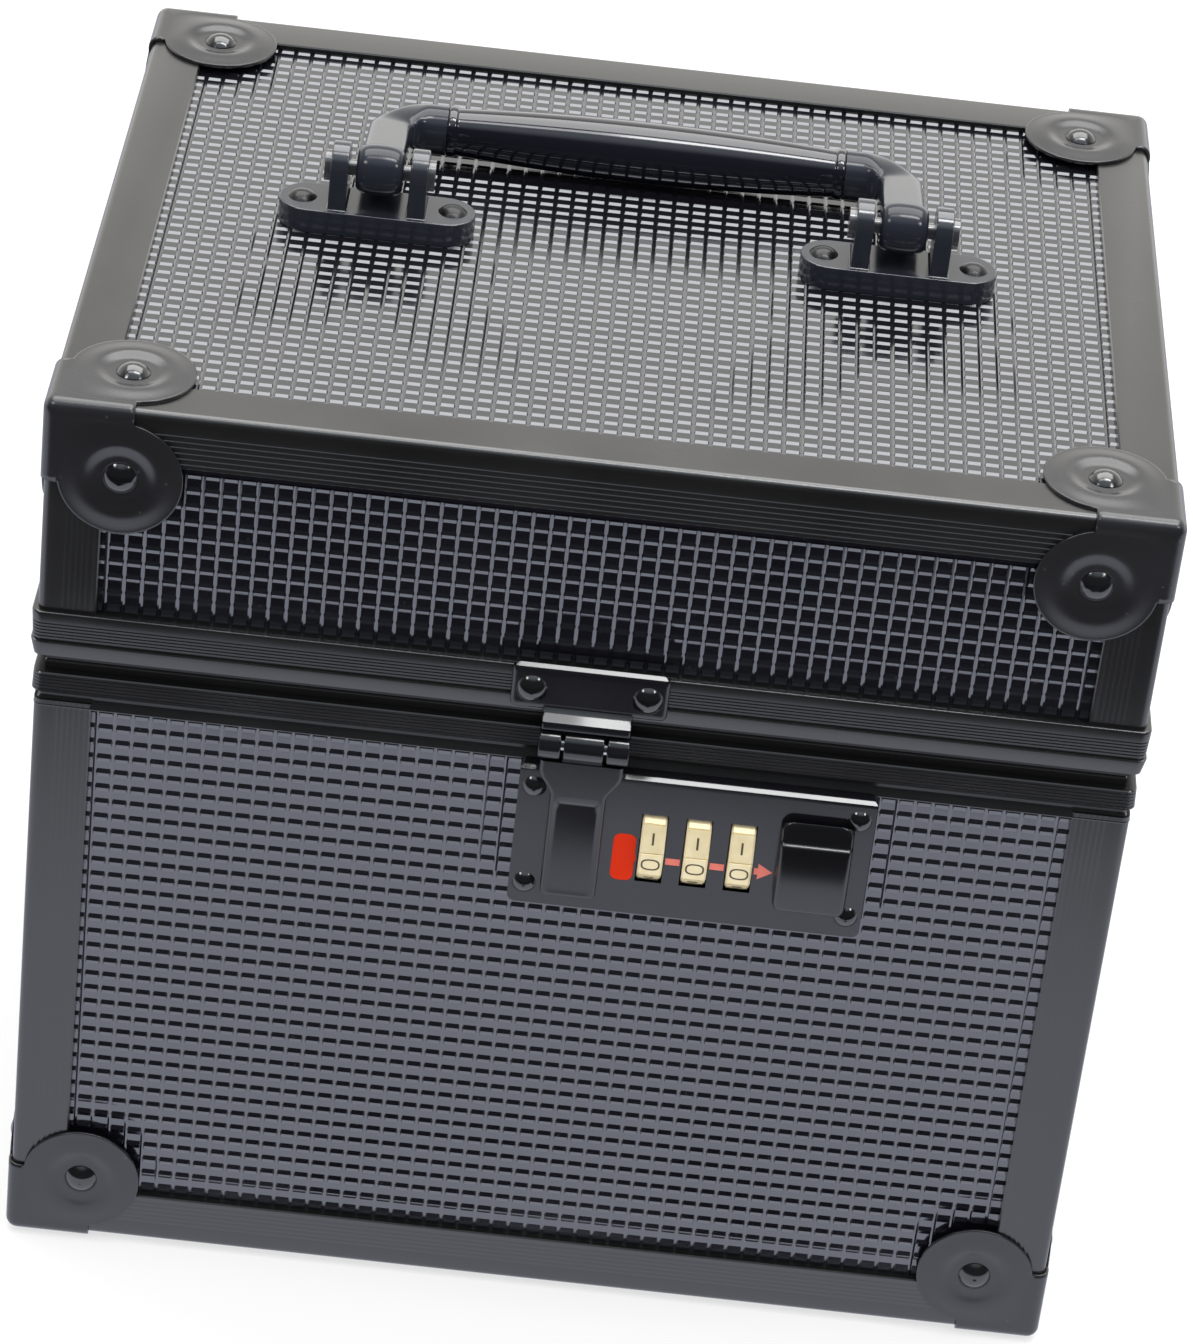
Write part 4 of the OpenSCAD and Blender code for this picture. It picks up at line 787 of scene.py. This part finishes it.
LIFT = 0.02  # the sheet's pits lie this far over the board
FRONT = CASE_Y - CASE_D / 2 + LEG_T - LIFT
BACK = CASE_Y + CASE_D / 2 - LEG_T + LIFT
SIDE = CASE_W / 2 - LEG_T + LIFT
open_w, open_d = CASE_W - 2 * LEG, CASE_D - 2 * LEG
plate_lo, plate_hi = box_of("lock_plate")
FAR = 200.0  # past the case on any side
under_plate = ((plate_lo[0] + 0.5, -FAR, plate_lo[2] + 0.5), (plate_hi[0] - 0.5, 0, plate_hi[2] - 0.5))
under_frame = ((-FAR, -FAR, FRAME_TOP - 12.0), (FAR, FAR, FAR))  # left plain below the top extrusions
for part, z0, z1, front_cut, side_cut, crests, ridge_half in (
        ("base", FRAME_LOW + LEG, BASE_POST_TOP, under_plate, NO_CUT, (-0.62, 1.18), BASE_RIDGE_HALF),
        ("lid", LID_POST_LOW, FRAME_TOP - LEG, under_frame, under_frame, (-0.42, 1.26), RIDGE_HALF)):
    mid, tall = (z0 + z1) / 2, z1 - z0
    embossed_sheet(part + "_front_embossing", part, open_w, tall, (QUARTER, 0, 0), (0, FRONT, mid), front_cut, crests,
                   ridge_half=ridge_half)
    for side, wide, turn, place in (("back", open_w, math.pi, (0, BACK, mid)),
                                    ("left", open_d, -QUARTER, (-SIDE, CASE_Y, mid)),
                                    ("right", open_d, QUARTER, (SIDE, CASE_Y, mid))):
        embossed_sheet(part + "_" + side + "_embossing", part, wide, tall, (QUARTER, 0, turn), place, side_cut,
                       (0, crests[1]))
embossed_sheet("lid_top_embossing", "lid", open_w, open_d, (0, 0, 0), (0, CASE_Y, FRAME_TOP - LEG_T + LIFT),
               crests=(0, 1.62), film=TOP_FILM, rows=TOP_ROW_PITCH, ridge_half=TOP_RIDGE_HALF)
embossed_sheet("base_bottom_embossing", "base", open_w, open_d, (math.pi, 0, 0),
               (0, CASE_Y, FRAME_LOW + LEG_T - LIFT))


# -------- rounded copies of solid pieces

def rounded_copy(name, node, body, material, slot, width, segments=3, angle=32.0, reshape=None):
    """A copy of a solid with its sharp edges rounded."""
    bm = bmesh.new()
    bm.from_mesh(frame["nodes"][node].data)
    bmesh.ops.scale(bm, vec=(1 / MM,) * 3, verts=bm.verts)
    bmesh.ops.remove_doubles(bm, verts=bm.verts, dist=0.002)
    if reshape:
        reshape(bm)
    bmesh.ops.dissolve_limit(bm, angle_limit=math.radians(0.6), verts=bm.verts, edges=bm.edges)
    obj = piece(name, bm, material, body, slot, (node,), angle=180, recalc=False)
    soft = obj.modifiers.new("edges", "BEVEL")
    soft.width = width * MM
    soft.segments = segments
    soft.limit_method = "ANGLE"
    soft.angle_limit = math.radians(angle)
    soft.use_clamp_overlap = True
    even = obj.modifiers.new("even_shading", "WEIGHTED_NORMAL")
    even.keep_sharp = False
    even.weight = 80


PLATE_FRONT, PLATE_TOP, PLATE_EDGE = plate_lo[1], plate_hi[2], 1.6
# (turn along the round edge, depth behind the face, drop below the top)
SLOPE = ((0, 0.0, PLATE_EDGE), (8, 0.0, 0.62), (60, 1.0, 0.06), (90, PLATE_EDGE, 0.0))


def slope_top_edge(bm):
    """The casting's round top edge becomes a flat slope that faces up and forward."""
    for v in bm.verts:
        back, down = v.co.y - PLATE_FRONT, PLATE_TOP - v.co.z
        if back < PLATE_EDGE + 0.01 and down < PLATE_EDGE + 0.01:
            turn = math.degrees(math.atan2(PLATE_EDGE - down, PLATE_EDGE - back))
            for (t0, y0, z0), (t1, y1, z1) in zip(SLOPE, SLOPE[1:]):
                if t0 <= turn <= t1 + 0.01:
                    part = (turn - t0) / (t1 - t0)
                    v.co.y, v.co.z = PLATE_FRONT + y0 + (y1 - y0) * part, PLATE_TOP - z0 + (z0 - z1) * part
                    break


def edge_fall(inset, radius):
    """How far a rounded edge lies back at a distance inset from the outline."""
    if inset >= radius:
        return 0.0
    return radius - math.sqrt(max(radius ** 2 - (radius - max(inset, 0.0)) ** 2, 0.0))


def relief(bm, levels, half_width, front, back, middle=0.0, columns=26):
    """A raised body over rows at the given heights; front(x, z) is its face, back(z) its underside."""
    rows = []
    for z in levels:
        w, under = half_width(z), back(z)
        across = [w * math.sin(QUARTER * (2 * i / columns - 1)) for i in range(columns + 1)]
        face = [(middle + x, front(x, z), z) for x in across]
        rows.append([(middle - w, under, z)] + face + [(middle + w, under, z)])
    first, last = [[(x, back(z), z) for x, y, z in row] for row in (rows[0], rows[-1])]
    rows = [first] + rows + [last]
    grid_faces(bm, [[bm.verts.new(p) for p in row] for row in rows], close_cols=True)


def spaced(low, high, count, edge):
    """Heights from low to high, closer together near both ends."""
    near = [edge * (1 - math.cos(math.radians(15 * i))) for i in range(7)]
    body = [low + edge + (high - low - 2 * edge) * i / count for i in range(1, count)]
    return [low + v for v in near] + body + [high - v for v in reversed(near)]


def lathe(bm, profile, centre, turns=48):
    """Turns (x, r) round a line along X through the centre."""
    around = circle(turns)
    skin(bm, [[bm.verts.new((x, centre[0] + r * c, centre[1] + r * s)) for c, s in around] for x, r in profile])


def barrel(bm, x0, x1, centre, radius, edge=0.35):
    """Hinge barrel with rounded ends."""
    rounded = [(edge * (1 - math.cos(math.radians(t))), radius - edge * (1 - math.sin(math.radians(t))))
               for t in (0, 22, 45, 68, 90)]
    lathe(bm, [(x0 + a, r) for a, r in rounded] + [(x1 - a, r) for a, r in reversed(rounded)], centre)


PIN_LINE = middle_of("hasp_pin")[1:]
BARREL_R = 2.8


def keeper():
    """Plate on the lid rim with a stepped tab that ends in two barrels."""
    lo, hi = box_of("keeper_plate")
    half, back, top = hi
    low, face, corner = top - 9.0, lo[1] + 4.2, 1.3
    bm = bmesh.new()

    def half_width(z):
        return half - edge_fall(min(z - low, top - z), corner)

    def front(x, z):
        side = edge_fall(min(half_width(z) - abs(x), z - low), 1.0) * 0.7
        drop, slope_end = top - z, 0.48  # the top edge is a slope that runs out into the face
        upper = 1.0 - 1.75 * drop if drop < slope_end else 0.16 * max(1 - (drop - slope_end) / 0.9, 0.0) ** 2
        return min(face + max(side, upper), back)

    relief(bm, spaced(low, top, 10, 1.5), half_width, front, lambda z: back, columns=40)
    tab = [(face + 0.6, low + 0.9), (face, low + 0.72), (face - 0.35, low + 0.36), (face - 0.75, low + 0.04),
           (face - 0.9, low - 0.045), (face - 2.25, low - 0.81), (face - 2.4, low - 0.895), (face - 2.58, low - 1.15),
           (face - 2.64, low - 1.6), (face - 2.6, low - 2.3), (face - 2.3, low - 2.4), (back, low - 2.4),
           (back, low + 0.9)]
    end = [(7.6, 0.0), (7.8, 0.1), (7.9, 0.3)]  # (x, inset) of the tab's rounded end
    skin(bm, [[bm.verts.new((x, y + inset if y < face - 0.1 else y, z)) for y, z in tab]
              for x, inset in [(-x, inset) for x, inset in reversed(end)] + end])
    for side in (-1, 1):
        a, b = sorted((side * 4.1, side * 8.1))
        barrel(bm, a, b, PIN_LINE, BARREL_R)
        block(bm, (a + 0.2, PIN_LINE[0] + 0.6, PIN_LINE[1]), (b - 0.2, back, low - 2.3))
    piece("keeper", bm, LOCK, "lid", "cap", ("keeper_plate",), angle=24)


def hasp_leaf():
    """Leaf that narrows below its shoulders and carries a sunk pad."""
    lo, hi = box_of("hasp")
    low, top, back = lo[2], PIN_LINE[1] - 3.2, PLATE_FRONT - 0.3
    face = back - 1.6
    shoulder, waist = PIN_LINE[1] - 5.8, PIN_LINE[1] - 10.2
    wide, narrow, corner = 7.5, 5.05, 1.2  # half widths over and under the shoulders
    pad_half, pad_low, pad_top, pad_corner = 4.5, low + 0.7, waist - 1.1, 1.5
    bm = bmesh.new()

    def half_width(z):
        t = clamped((shoulder - z) / (shoulder - waist))
        return wide + (narrow - wide) * (eased(t) + t) / 2 - edge_fall(z - low, corner)

    def front(x, z):
        across, along = pad_half - abs(x), min(pad_top - z, z - pad_low)
        if across < pad_corner and along < pad_corner:
            across = pad_corner - math.hypot(pad_corner - across, pad_corner - along)
        sunk = 0.06 + 0.60 * clamped((z - low - 0.8) / (waist - low - 2.2)) ** 1.6  # deepest at the waist
        return face + edge_fall(min(half_width(z) - abs(x), z - low), 0.8) + sunk * eased(min(across, along) / 0.95)

    relief(bm, spaced(low, top, 40, 1.0), half_width, front, lambda z: back, columns=48)
    barrel_half = 3.55
    block(bm, (-barrel_half, face + 0.2, top - 0.8), (barrel_half, back, PIN_LINE[1]))
    axis_z = middle_of("dial_1")[2]
    block(bm, (-2.0, back - 0.1, axis_z - 2.5), (2.0, hi[1], axis_z + 2.5))  # catch
    barrel(bm, -barrel_half, barrel_half, PIN_LINE, BARREL_R, 0.25)
    piece("hasp_leaf", bm, LOCK, "hasp", "lock_body", ("hasp",), angle=24)


def slide_button():
    """Thumb button: black hood over a ridge, swelling face and a neck that reaches the bolt."""
    lo, hi = box_of("release_button")
    left, right, low, high, near = lo[0], hi[0], lo[2], hi[2], lo[1] + 0.8
    middle, half, back = (left + right) / 2, (right - left) / 2, PLATE_FRONT - 0.3
    ridge_z, corner, edge = high - 4.1, 1.9, 1.0
    swell_z, swell_r = ridge_z - 7.6, 38.0
    side = []  # (z, y) of the face from the bottom to the top
    for i in range(25):
        z = low + (ridge_z - 0.35 - low) * i / 24
        side.append((z, near + (z - swell_z) ** 2 / (2 * swell_r)))

    def climb(length, tilt):
        """One more step of the face, tilted back from the upright."""
        z, y = side[-1]
        side.append((z + length * math.cos(math.radians(tilt)), y + length * math.sin(math.radians(tilt))))

    for tilt in (16, 32, 48, 60, 61, 54, 44):  # over the ridge
        climb(0.16, tilt)
    while side[-1][0] < high:
        climb(0.4, 16)

    def under(z):
        """Back of the button, with reliefs that pass over the plate rivets."""
        return back - 0.8 * max(z - (high - 1.5), 0.0) - max(low + 0.3 - z, 0.0)

    def face(z):
        for (za, ya), (zb, yb) in zip(side, side[1:]):
            if z <= zb:
                return ya + (yb - ya) * (z - za) / (zb - za)
        return side[-1][1]

    def half_width(z):
        return half - edge_fall(min(z - low, high - z), corner)

    def front(x, z):
        inset = min(half_width(z) - abs(x), z - low, (high - z) * 3 + 0.5)
        return min(face(z) + edge_fall(inset, edge) * 1.3, under(z) - 0.02)

    levels = [low + edge * (1 - math.cos(math.radians(15 * i))) for i in range(7)]
    levels += [z for z, y in side if levels[-1] + 0.05 < z < high - 0.02] + [high]
    bm = bmesh.new()
    relief(bm, levels, half_width, front, under, middle, 30)
    neck_z = (low + high) / 2
    block(bm, (left + 3.0, back - 0.5, neck_z - 3), (left + 6.5, hi[1], neck_z + 3))
    piece("slide_button", bm, BUTTON, "release", "button", ("release_button",), angle=30)


rounded_copy("lock_casting", "lock_plate", "base", LOCK, "lock_body", 0.3, reshape=slope_top_edge)
rounded_copy("bracket_castings", "handle_brackets", "lid", BRACKET, "cap", 0.5)
rounded_copy("base_hinge_leaves", "hinge_base_leaves", "base", CAP_PAINT, "cap", 0.2, 2)
rounded_copy("lid_hinge_leaves", "hinge_lid_leaves", "lid", CAP_PAINT, "cap", 0.2, 2)
keeper()
hasp_leaf()
slide_button()


# -------- handle

# Bar: pivot line to grip line, width, thickness, distance between the arms
REACH, ARM_W, ARM_T, PITCH_X = 31.0, 7.9, 4.6, 97.2
# Grip: half length, radius at its ends and in its middle; gap under it at rest
GRIP_L, GRIP_END, GRIP_MID, REST_GAP = 38.0, 4.5, 5.8, 0.3
CORNER_R, EYE_R, EYE_HALF_W, PIVOT_H = 11.0, 4.8, 4.35, 11.6
DROP = math.asin((PIVOT_H - GRIP_MID - REST_GAP) / REACH)
BAIL_TO_CASE = Matrix.Translation((0, PIVOT_Y, PIVOT_Z)) @ Matrix.Rotation(-DROP, 4, "X")


def bail():
    """Flat bar from eye to eye, rounding into the ferrules at both ends of the grip."""
    bm = bmesh.new()
    x0, foot = PITCH_X / 2, 1.5  # the bar starts inside the eye
    mid_r, round_r = CORNER_R - ARM_W / 2, GRIP_END + 0.25
    # (x, y, turn) along the middle of the bar: up the arm, round the corner, in to the grip
    path = [(x0, foot + (REACH - mid_r - foot) * i / 8, 0.0) for i in range(8)]
    for i in range(13):
        t = math.radians(90 * i / 12)
        path.append((x0 - mid_r + mid_r * math.cos(t), REACH - mid_r + mid_r * math.sin(t), t))
    path += [(x0 - mid_r - (x0 - mid_r - GRIP_L) * i / 3, REACH, QUARTER) for i in range(1, 4)]
    for side in (-1, 1):
        rows = []
        for x, y, t in path:
            into = eased((t / QUARTER - 0.25) / 0.75)  # 0 where the bar is flat, 1 where it is round
            a, b = (size / 2 + (round_r - size / 2) * into for size in (ARM_W, ARM_T))
            power = 2 / (6.0 - 4.0 * into)
            row = []
            for c, s in circle(48):
                p = a * signed_power(c, power)
                row.append(bm.verts.new((side * (x + p * math.cos(t)), y + p * math.sin(t),
                                         b * signed_power(s, power))))
            rows.append(row)
        skin(bm, rows)
    bmesh.ops.recalc_face_normals(bm, faces=bm.faces)
    bore, shoulder = 1.56, 2.9
    for side in (-1, 1):
        eye = bmesh.new()
        outer = [(-EYE_HALF_W, bore)]
        for i in range(25):
            t = -QUARTER + math.pi * i / 24
            outer.append((EYE_HALF_W * signed_power(math.sin(t), 0.8),
                          shoulder + (EYE_R - shoulder) * max(math.cos(t), 0.0) ** 0.8))
        outer.append((EYE_HALF_W, bore))
        rows = [[eye.verts.new((side * x0 + x, r * c, r * s)) for c, s in circle(64)] for x, r in outer]
        grid_faces(eye, rows, close_rows=True, close_cols=True)
        bmesh.ops.recalc_face_normals(eye, faces=eye.faces)
        absorb(bm, eye)
    bm.transform(BAIL_TO_CASE)
    piece("bail_bar", bm, BAIL, "handle", "bail", ("handle_bail",), angle=38, weld=0.0005, recalc=False)


def grip():
    """Barrel grip with a rounded collar at each end."""
    bm = bmesh.new()
    half = GRIP_L - 0.05
    collar = ((0, 0.05), (-0.1, 0.2), (-0.35, 0.33), (-0.9, 0.38), (-1.45, 0.33), (-1.75, 0.18), (-1.95, 0.02),
              (-2.2, 0.0))
    right = [(half, 2.6)] + [(half + x, GRIP_END + y) for x, y in collar]
    swell = []
    for i in range(25):
        x = -1 + 2 * i / 24
        swell.append((x * (half - 2.5), GRIP_MID - (GRIP_MID - GRIP_END - 0.04) * x * x))
    lathe(bm, [(-x, r) for x, r in right] + swell + right[::-1], (0.0, 0.0), 72)
    bm.transform(BAIL_TO_CASE @ Matrix.Translation((0, REACH, 0)))
    piece("grip_barrel", bm, GRIP, "handle", "grip", ("handle_grip",), angle=50)


bail()
grip()


# -------- dials

INK_HALF = 0.02  # half the thickness of a numeral


def stroke_digit(text):
    """A plain oval for 0 and an upright bar for 1, as stamped on the wheels."""
    bm = bmesh.new()
    if text == "0":
        oval = [(signed_power(c, 0.75), signed_power(s, 0.75)) for c, s in circle(40)]
        wide, narrow = (1.72, 1.38), (1.40, 1.06)
        rows = [[bm.verts.new((w * x, h * y, z)) for x, y in oval]
                for (w, h), z in ((wide, -INK_HALF), (wide, INK_HALF), (narrow, INK_HALF), (narrow, -INK_HALF))]
        grid_faces(bm, rows, close_rows=True, close_cols=True)
    else:
        block(bm, (-0.19, -1.1, -INK_HALF), (0.19, 1.1, INK_HALF))
    return mesh_from(bm, "digit")


def digit_mesh(text):
    """One numeral in millimetres, lying in the XY plane."""
    if text in "01":
        return stroke_digit(text)
    curve = bpy.data.curves.new("digit_" + text, "FONT")
    curve.body, curve.size, curve.resolution_u = text, 3.6, 4
    curve.align_x = curve.align_y = "CENTER"
    curve.extrude, curve.offset = INK_HALF, -0.03
    mesh = evaluated_mesh(in_scene("digit", curve))
    bpy.data.curves.remove(curve)
    mesh.transform(Matrix.Diagonal((1.35, 0.86, 1, 1)))  # wide and low
    return mesh


DIAL_R, DIAL_W, DIAL_BORE = 8.8, 4.4, 2.06
FACET, DIAL_TURN, GROOVE = 36.0, 6.5, 0.965  # degrees; a groove's part of the radius
APOTHEM = DIAL_R * math.cos(math.radians(FACET / 2))


def dial(number):
    """Wheel with ten facets, a groove between every two, and the numerals on them."""
    node = "dial_%d" % number
    to_case = Matrix.Translation(middle_of(node))
    bm = bmesh.new()
    rows = []
    half, edge = DIAL_W / 2, 0.35
    for x, r in ((-half, DIAL_R - edge), (-half + edge, DIAL_R), (half - edge, DIAL_R), (half, DIAL_R - edge)):
        row = []
        for i in range(10):
            for off in (-16.9, -9.0, 9.0, 16.9, FACET / 2):
                t = math.radians(FACET * i + FACET / 2 - DIAL_TURN + off)
                out = r * math.cos(math.radians(FACET / 2)) / math.cos(math.radians(off))
                if off == FACET / 2:
                    out *= GROOVE
                row.append(bm.verts.new((x, out * math.cos(t), out * math.sin(t))))
        rows.append(row)
    turns = [math.atan2(v.co.z, v.co.y) for v in rows[0]]
    for x in (half, -half):
        rows.append([bm.verts.new((x, DIAL_BORE * math.cos(t), DIAL_BORE * math.sin(t))) for t in turns])
    grid_faces(bm, rows, close_rows=True, close_cols=True)
    bm.transform(to_case)
    piece("number_wheel_%d" % number, bm, BRASS, node, "dial", (node,), angle=22)
    ink = bmesh.new()
    for value, digit in enumerate(DIGITS):
        mesh = digit.copy()
        mesh.transform(to_case @ Matrix.Rotation(-math.radians(DIAL_TURN - FACET / 2 + FACET * value), 4, "X")
                       @ Matrix.Translation((0, -APOTHEM - 0.012, 0)) @ Matrix.Rotation(QUARTER, 4, "X"))
        ink.from_mesh(mesh)
        bpy.data.meshes.remove(mesh)
    piece("numerals_%d" % number, ink, DIGIT, node, "dial", (), angle=60, weld=0.0001)


DIGITS = [digit_mesh(str(i)) for i in range(10)]
for number in (1, 2, 3):
    dial(number)
for mesh in DIGITS:
    bpy.data.meshes.remove(mesh)


# -------- camera

VIEW_W, VIEW_H = 1193, 1344  # pixels, as are the focal length and the point where the optical axis falls
FOCAL, AXIS_X, AXIS_Y, SENSOR = 5044.0, 595.67, 667.67, 36.0

lens = bpy.data.cameras.new("view")
lens.sensor_width = SENSOR
lens.sensor_fit = "AUTO"
lens.lens = FOCAL / VIEW_H * SENSOR
lens.shift_x = (VIEW_W / 2 - AXIS_X) / VIEW_H
lens.shift_y = (AXIS_Y - VIEW_H / 2) / VIEW_H
lens.clip_start = 0.05
lens.clip_end = 50
camera = in_scene("view", lens)
turned = Matrix(((0.993945, -0.109372, -0.010578), (0.049163, 0.528732, -0.847364), (0.098271, 0.841712, 0.530908)))
camera.matrix_world = Matrix.Translation((-0.00894457, -0.834229, 0.61264765)) @ turned.to_4x4()
bpy.context.scene.camera = camera


# -------- floor, world and lamps

def floor():
    """Pale table. Reflections see it dark in front of the case and bright beside and behind it."""
    bm = bmesh.new()
    bmesh.ops.create_grid(bm, x_segments=2, y_segments=2, size=6.0)
    mesh = mesh_from(bm, "floor")
    m = bpy.data.materials.new("pale_table")
    m.use_nodes = True
    tree = m.node_tree
    tree.nodes.remove(tree.nodes["Principled BSDF"])
    past_dark = map_range(tree, object_axes(tree)["Y"], -0.272, -0.262)
    seen = mix_colour(tree, past_dark, (0.012, 0.012, 0.015, 1), (0.90, 0.93, 1.06, 1))
    glow = new_node(tree, "ShaderNodeEmission", {"Color": seen})
    white = new_node(tree, "ShaderNodeEmission", {"Color": (1, 1, 1, 1)})
    chalk = new_node(tree, "ShaderNodeBsdfDiffuse", {"Color": (0.92, 0.92, 0.92, 1)})
    table = new_node(tree, "ShaderNodeMixShader", {0: 0.35, 1: white.outputs[0], 2: chalk.outputs[0]})
    paths = new_node(tree, "ShaderNodeLightPath").outputs
    mirrored = math_node(tree, "MAXIMUM", paths["Is Glossy Ray"], paths["Is Transmission Ray"])
    surface = new_node(tree, "ShaderNodeMixShader", {0: mirrored, 1: table.outputs[0], 2: glow.outputs[0]})
    tree.links.new(surface.outputs[0], tree.nodes["Material Output"].inputs["Surface"])
    mesh.materials.append(m)
    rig.stage(in_scene("floor", mesh))


def world():
    """White room. Reflections see a bright low backdrop behind, a dark room in front and a dim glow high up."""
    w = bpy.data.worlds.new("studio")
    bpy.context.scene.world = w
    w.use_nodes = True
    tree = w.node_tree
    way = new_node(tree, "ShaderNodeTexCoord").outputs["Generated"]
    axes = new_node(tree, "ShaderNodeSeparateXYZ", {0: way}).outputs

    def tint(value, colour):
        return new_node(tree, "ShaderNodeVectorMath", {0: colour, "Scale": value}, operation="SCALE").outputs[0]

    behind = tint(map_range(tree, axes["Z"], 0.0, 0.95, 1.95, 0.2), (1.0, 0.985, 0.94))
    ahead = tint(map_range(tree, axes["Z"], 0.68, 0.88, 0.05, 0.8), (0.82, 0.92, 1.0))
    studio = mix_colour(tree, map_range(tree, axes["Y"], -0.25, 0.30), ahead, behind)
    glossy = new_node(tree, "ShaderNodeLightPath").outputs["Is Glossy Ray"]
    back = tree.nodes["Background"].inputs
    tree.links.new(mix_colour(tree, glossy, (1, 1, 1, 1), studio), back["Color"])
    back["Strength"].default_value = 1.0


def lamp(name, power, size, place, aim):
    """Rectangular lamp: watts, metres, and where it looks."""
    data = bpy.data.lights.new(name, "AREA")
    data.shape = "RECTANGLE"
    data.size, data.size_y = size
    data.energy = power
    at = Vector(place)
    turn = (Vector(aim) - at).to_track_quat("-Z", "Y").to_matrix().to_4x4()
    in_scene(name, data).matrix_world = Matrix.Translation(at) @ turn


floor()
world()
lamp("rear_overhead", 21.0, (1.6, 1.05), (0.0, 0.62, 1.35), (0.0, 0.62, 0.0))
lamp("strip_right", 4.4, (0.62, 0.19), (0.29, -0.13, 1.35), (0.29, -0.13, 0.0))
lamp("strip_left", 1.4, (0.58, 0.19), (-0.31, -0.13, 1.35), (-0.31, -0.13, 0.0))
lamp("left_front", 1.6, (0.22, 0.22), (-0.75, -0.55, 1.15), (0, 0, 0.1))
lamp("right_front", 1.6, (0.22, 0.22), (0.75, -0.55, 1.15), (0, 0, 0.1))

bpy.context.scene.view_settings.view_transform = "Standard"


def plain(box):
    """A box as lists of plain numbers."""
    return [[float(v) for v in corner] for corner in box]


with open("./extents.json", "w") as out:
    json.dump({"cad": plain(cad_box), "visual": plain(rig.bounds())}, out)
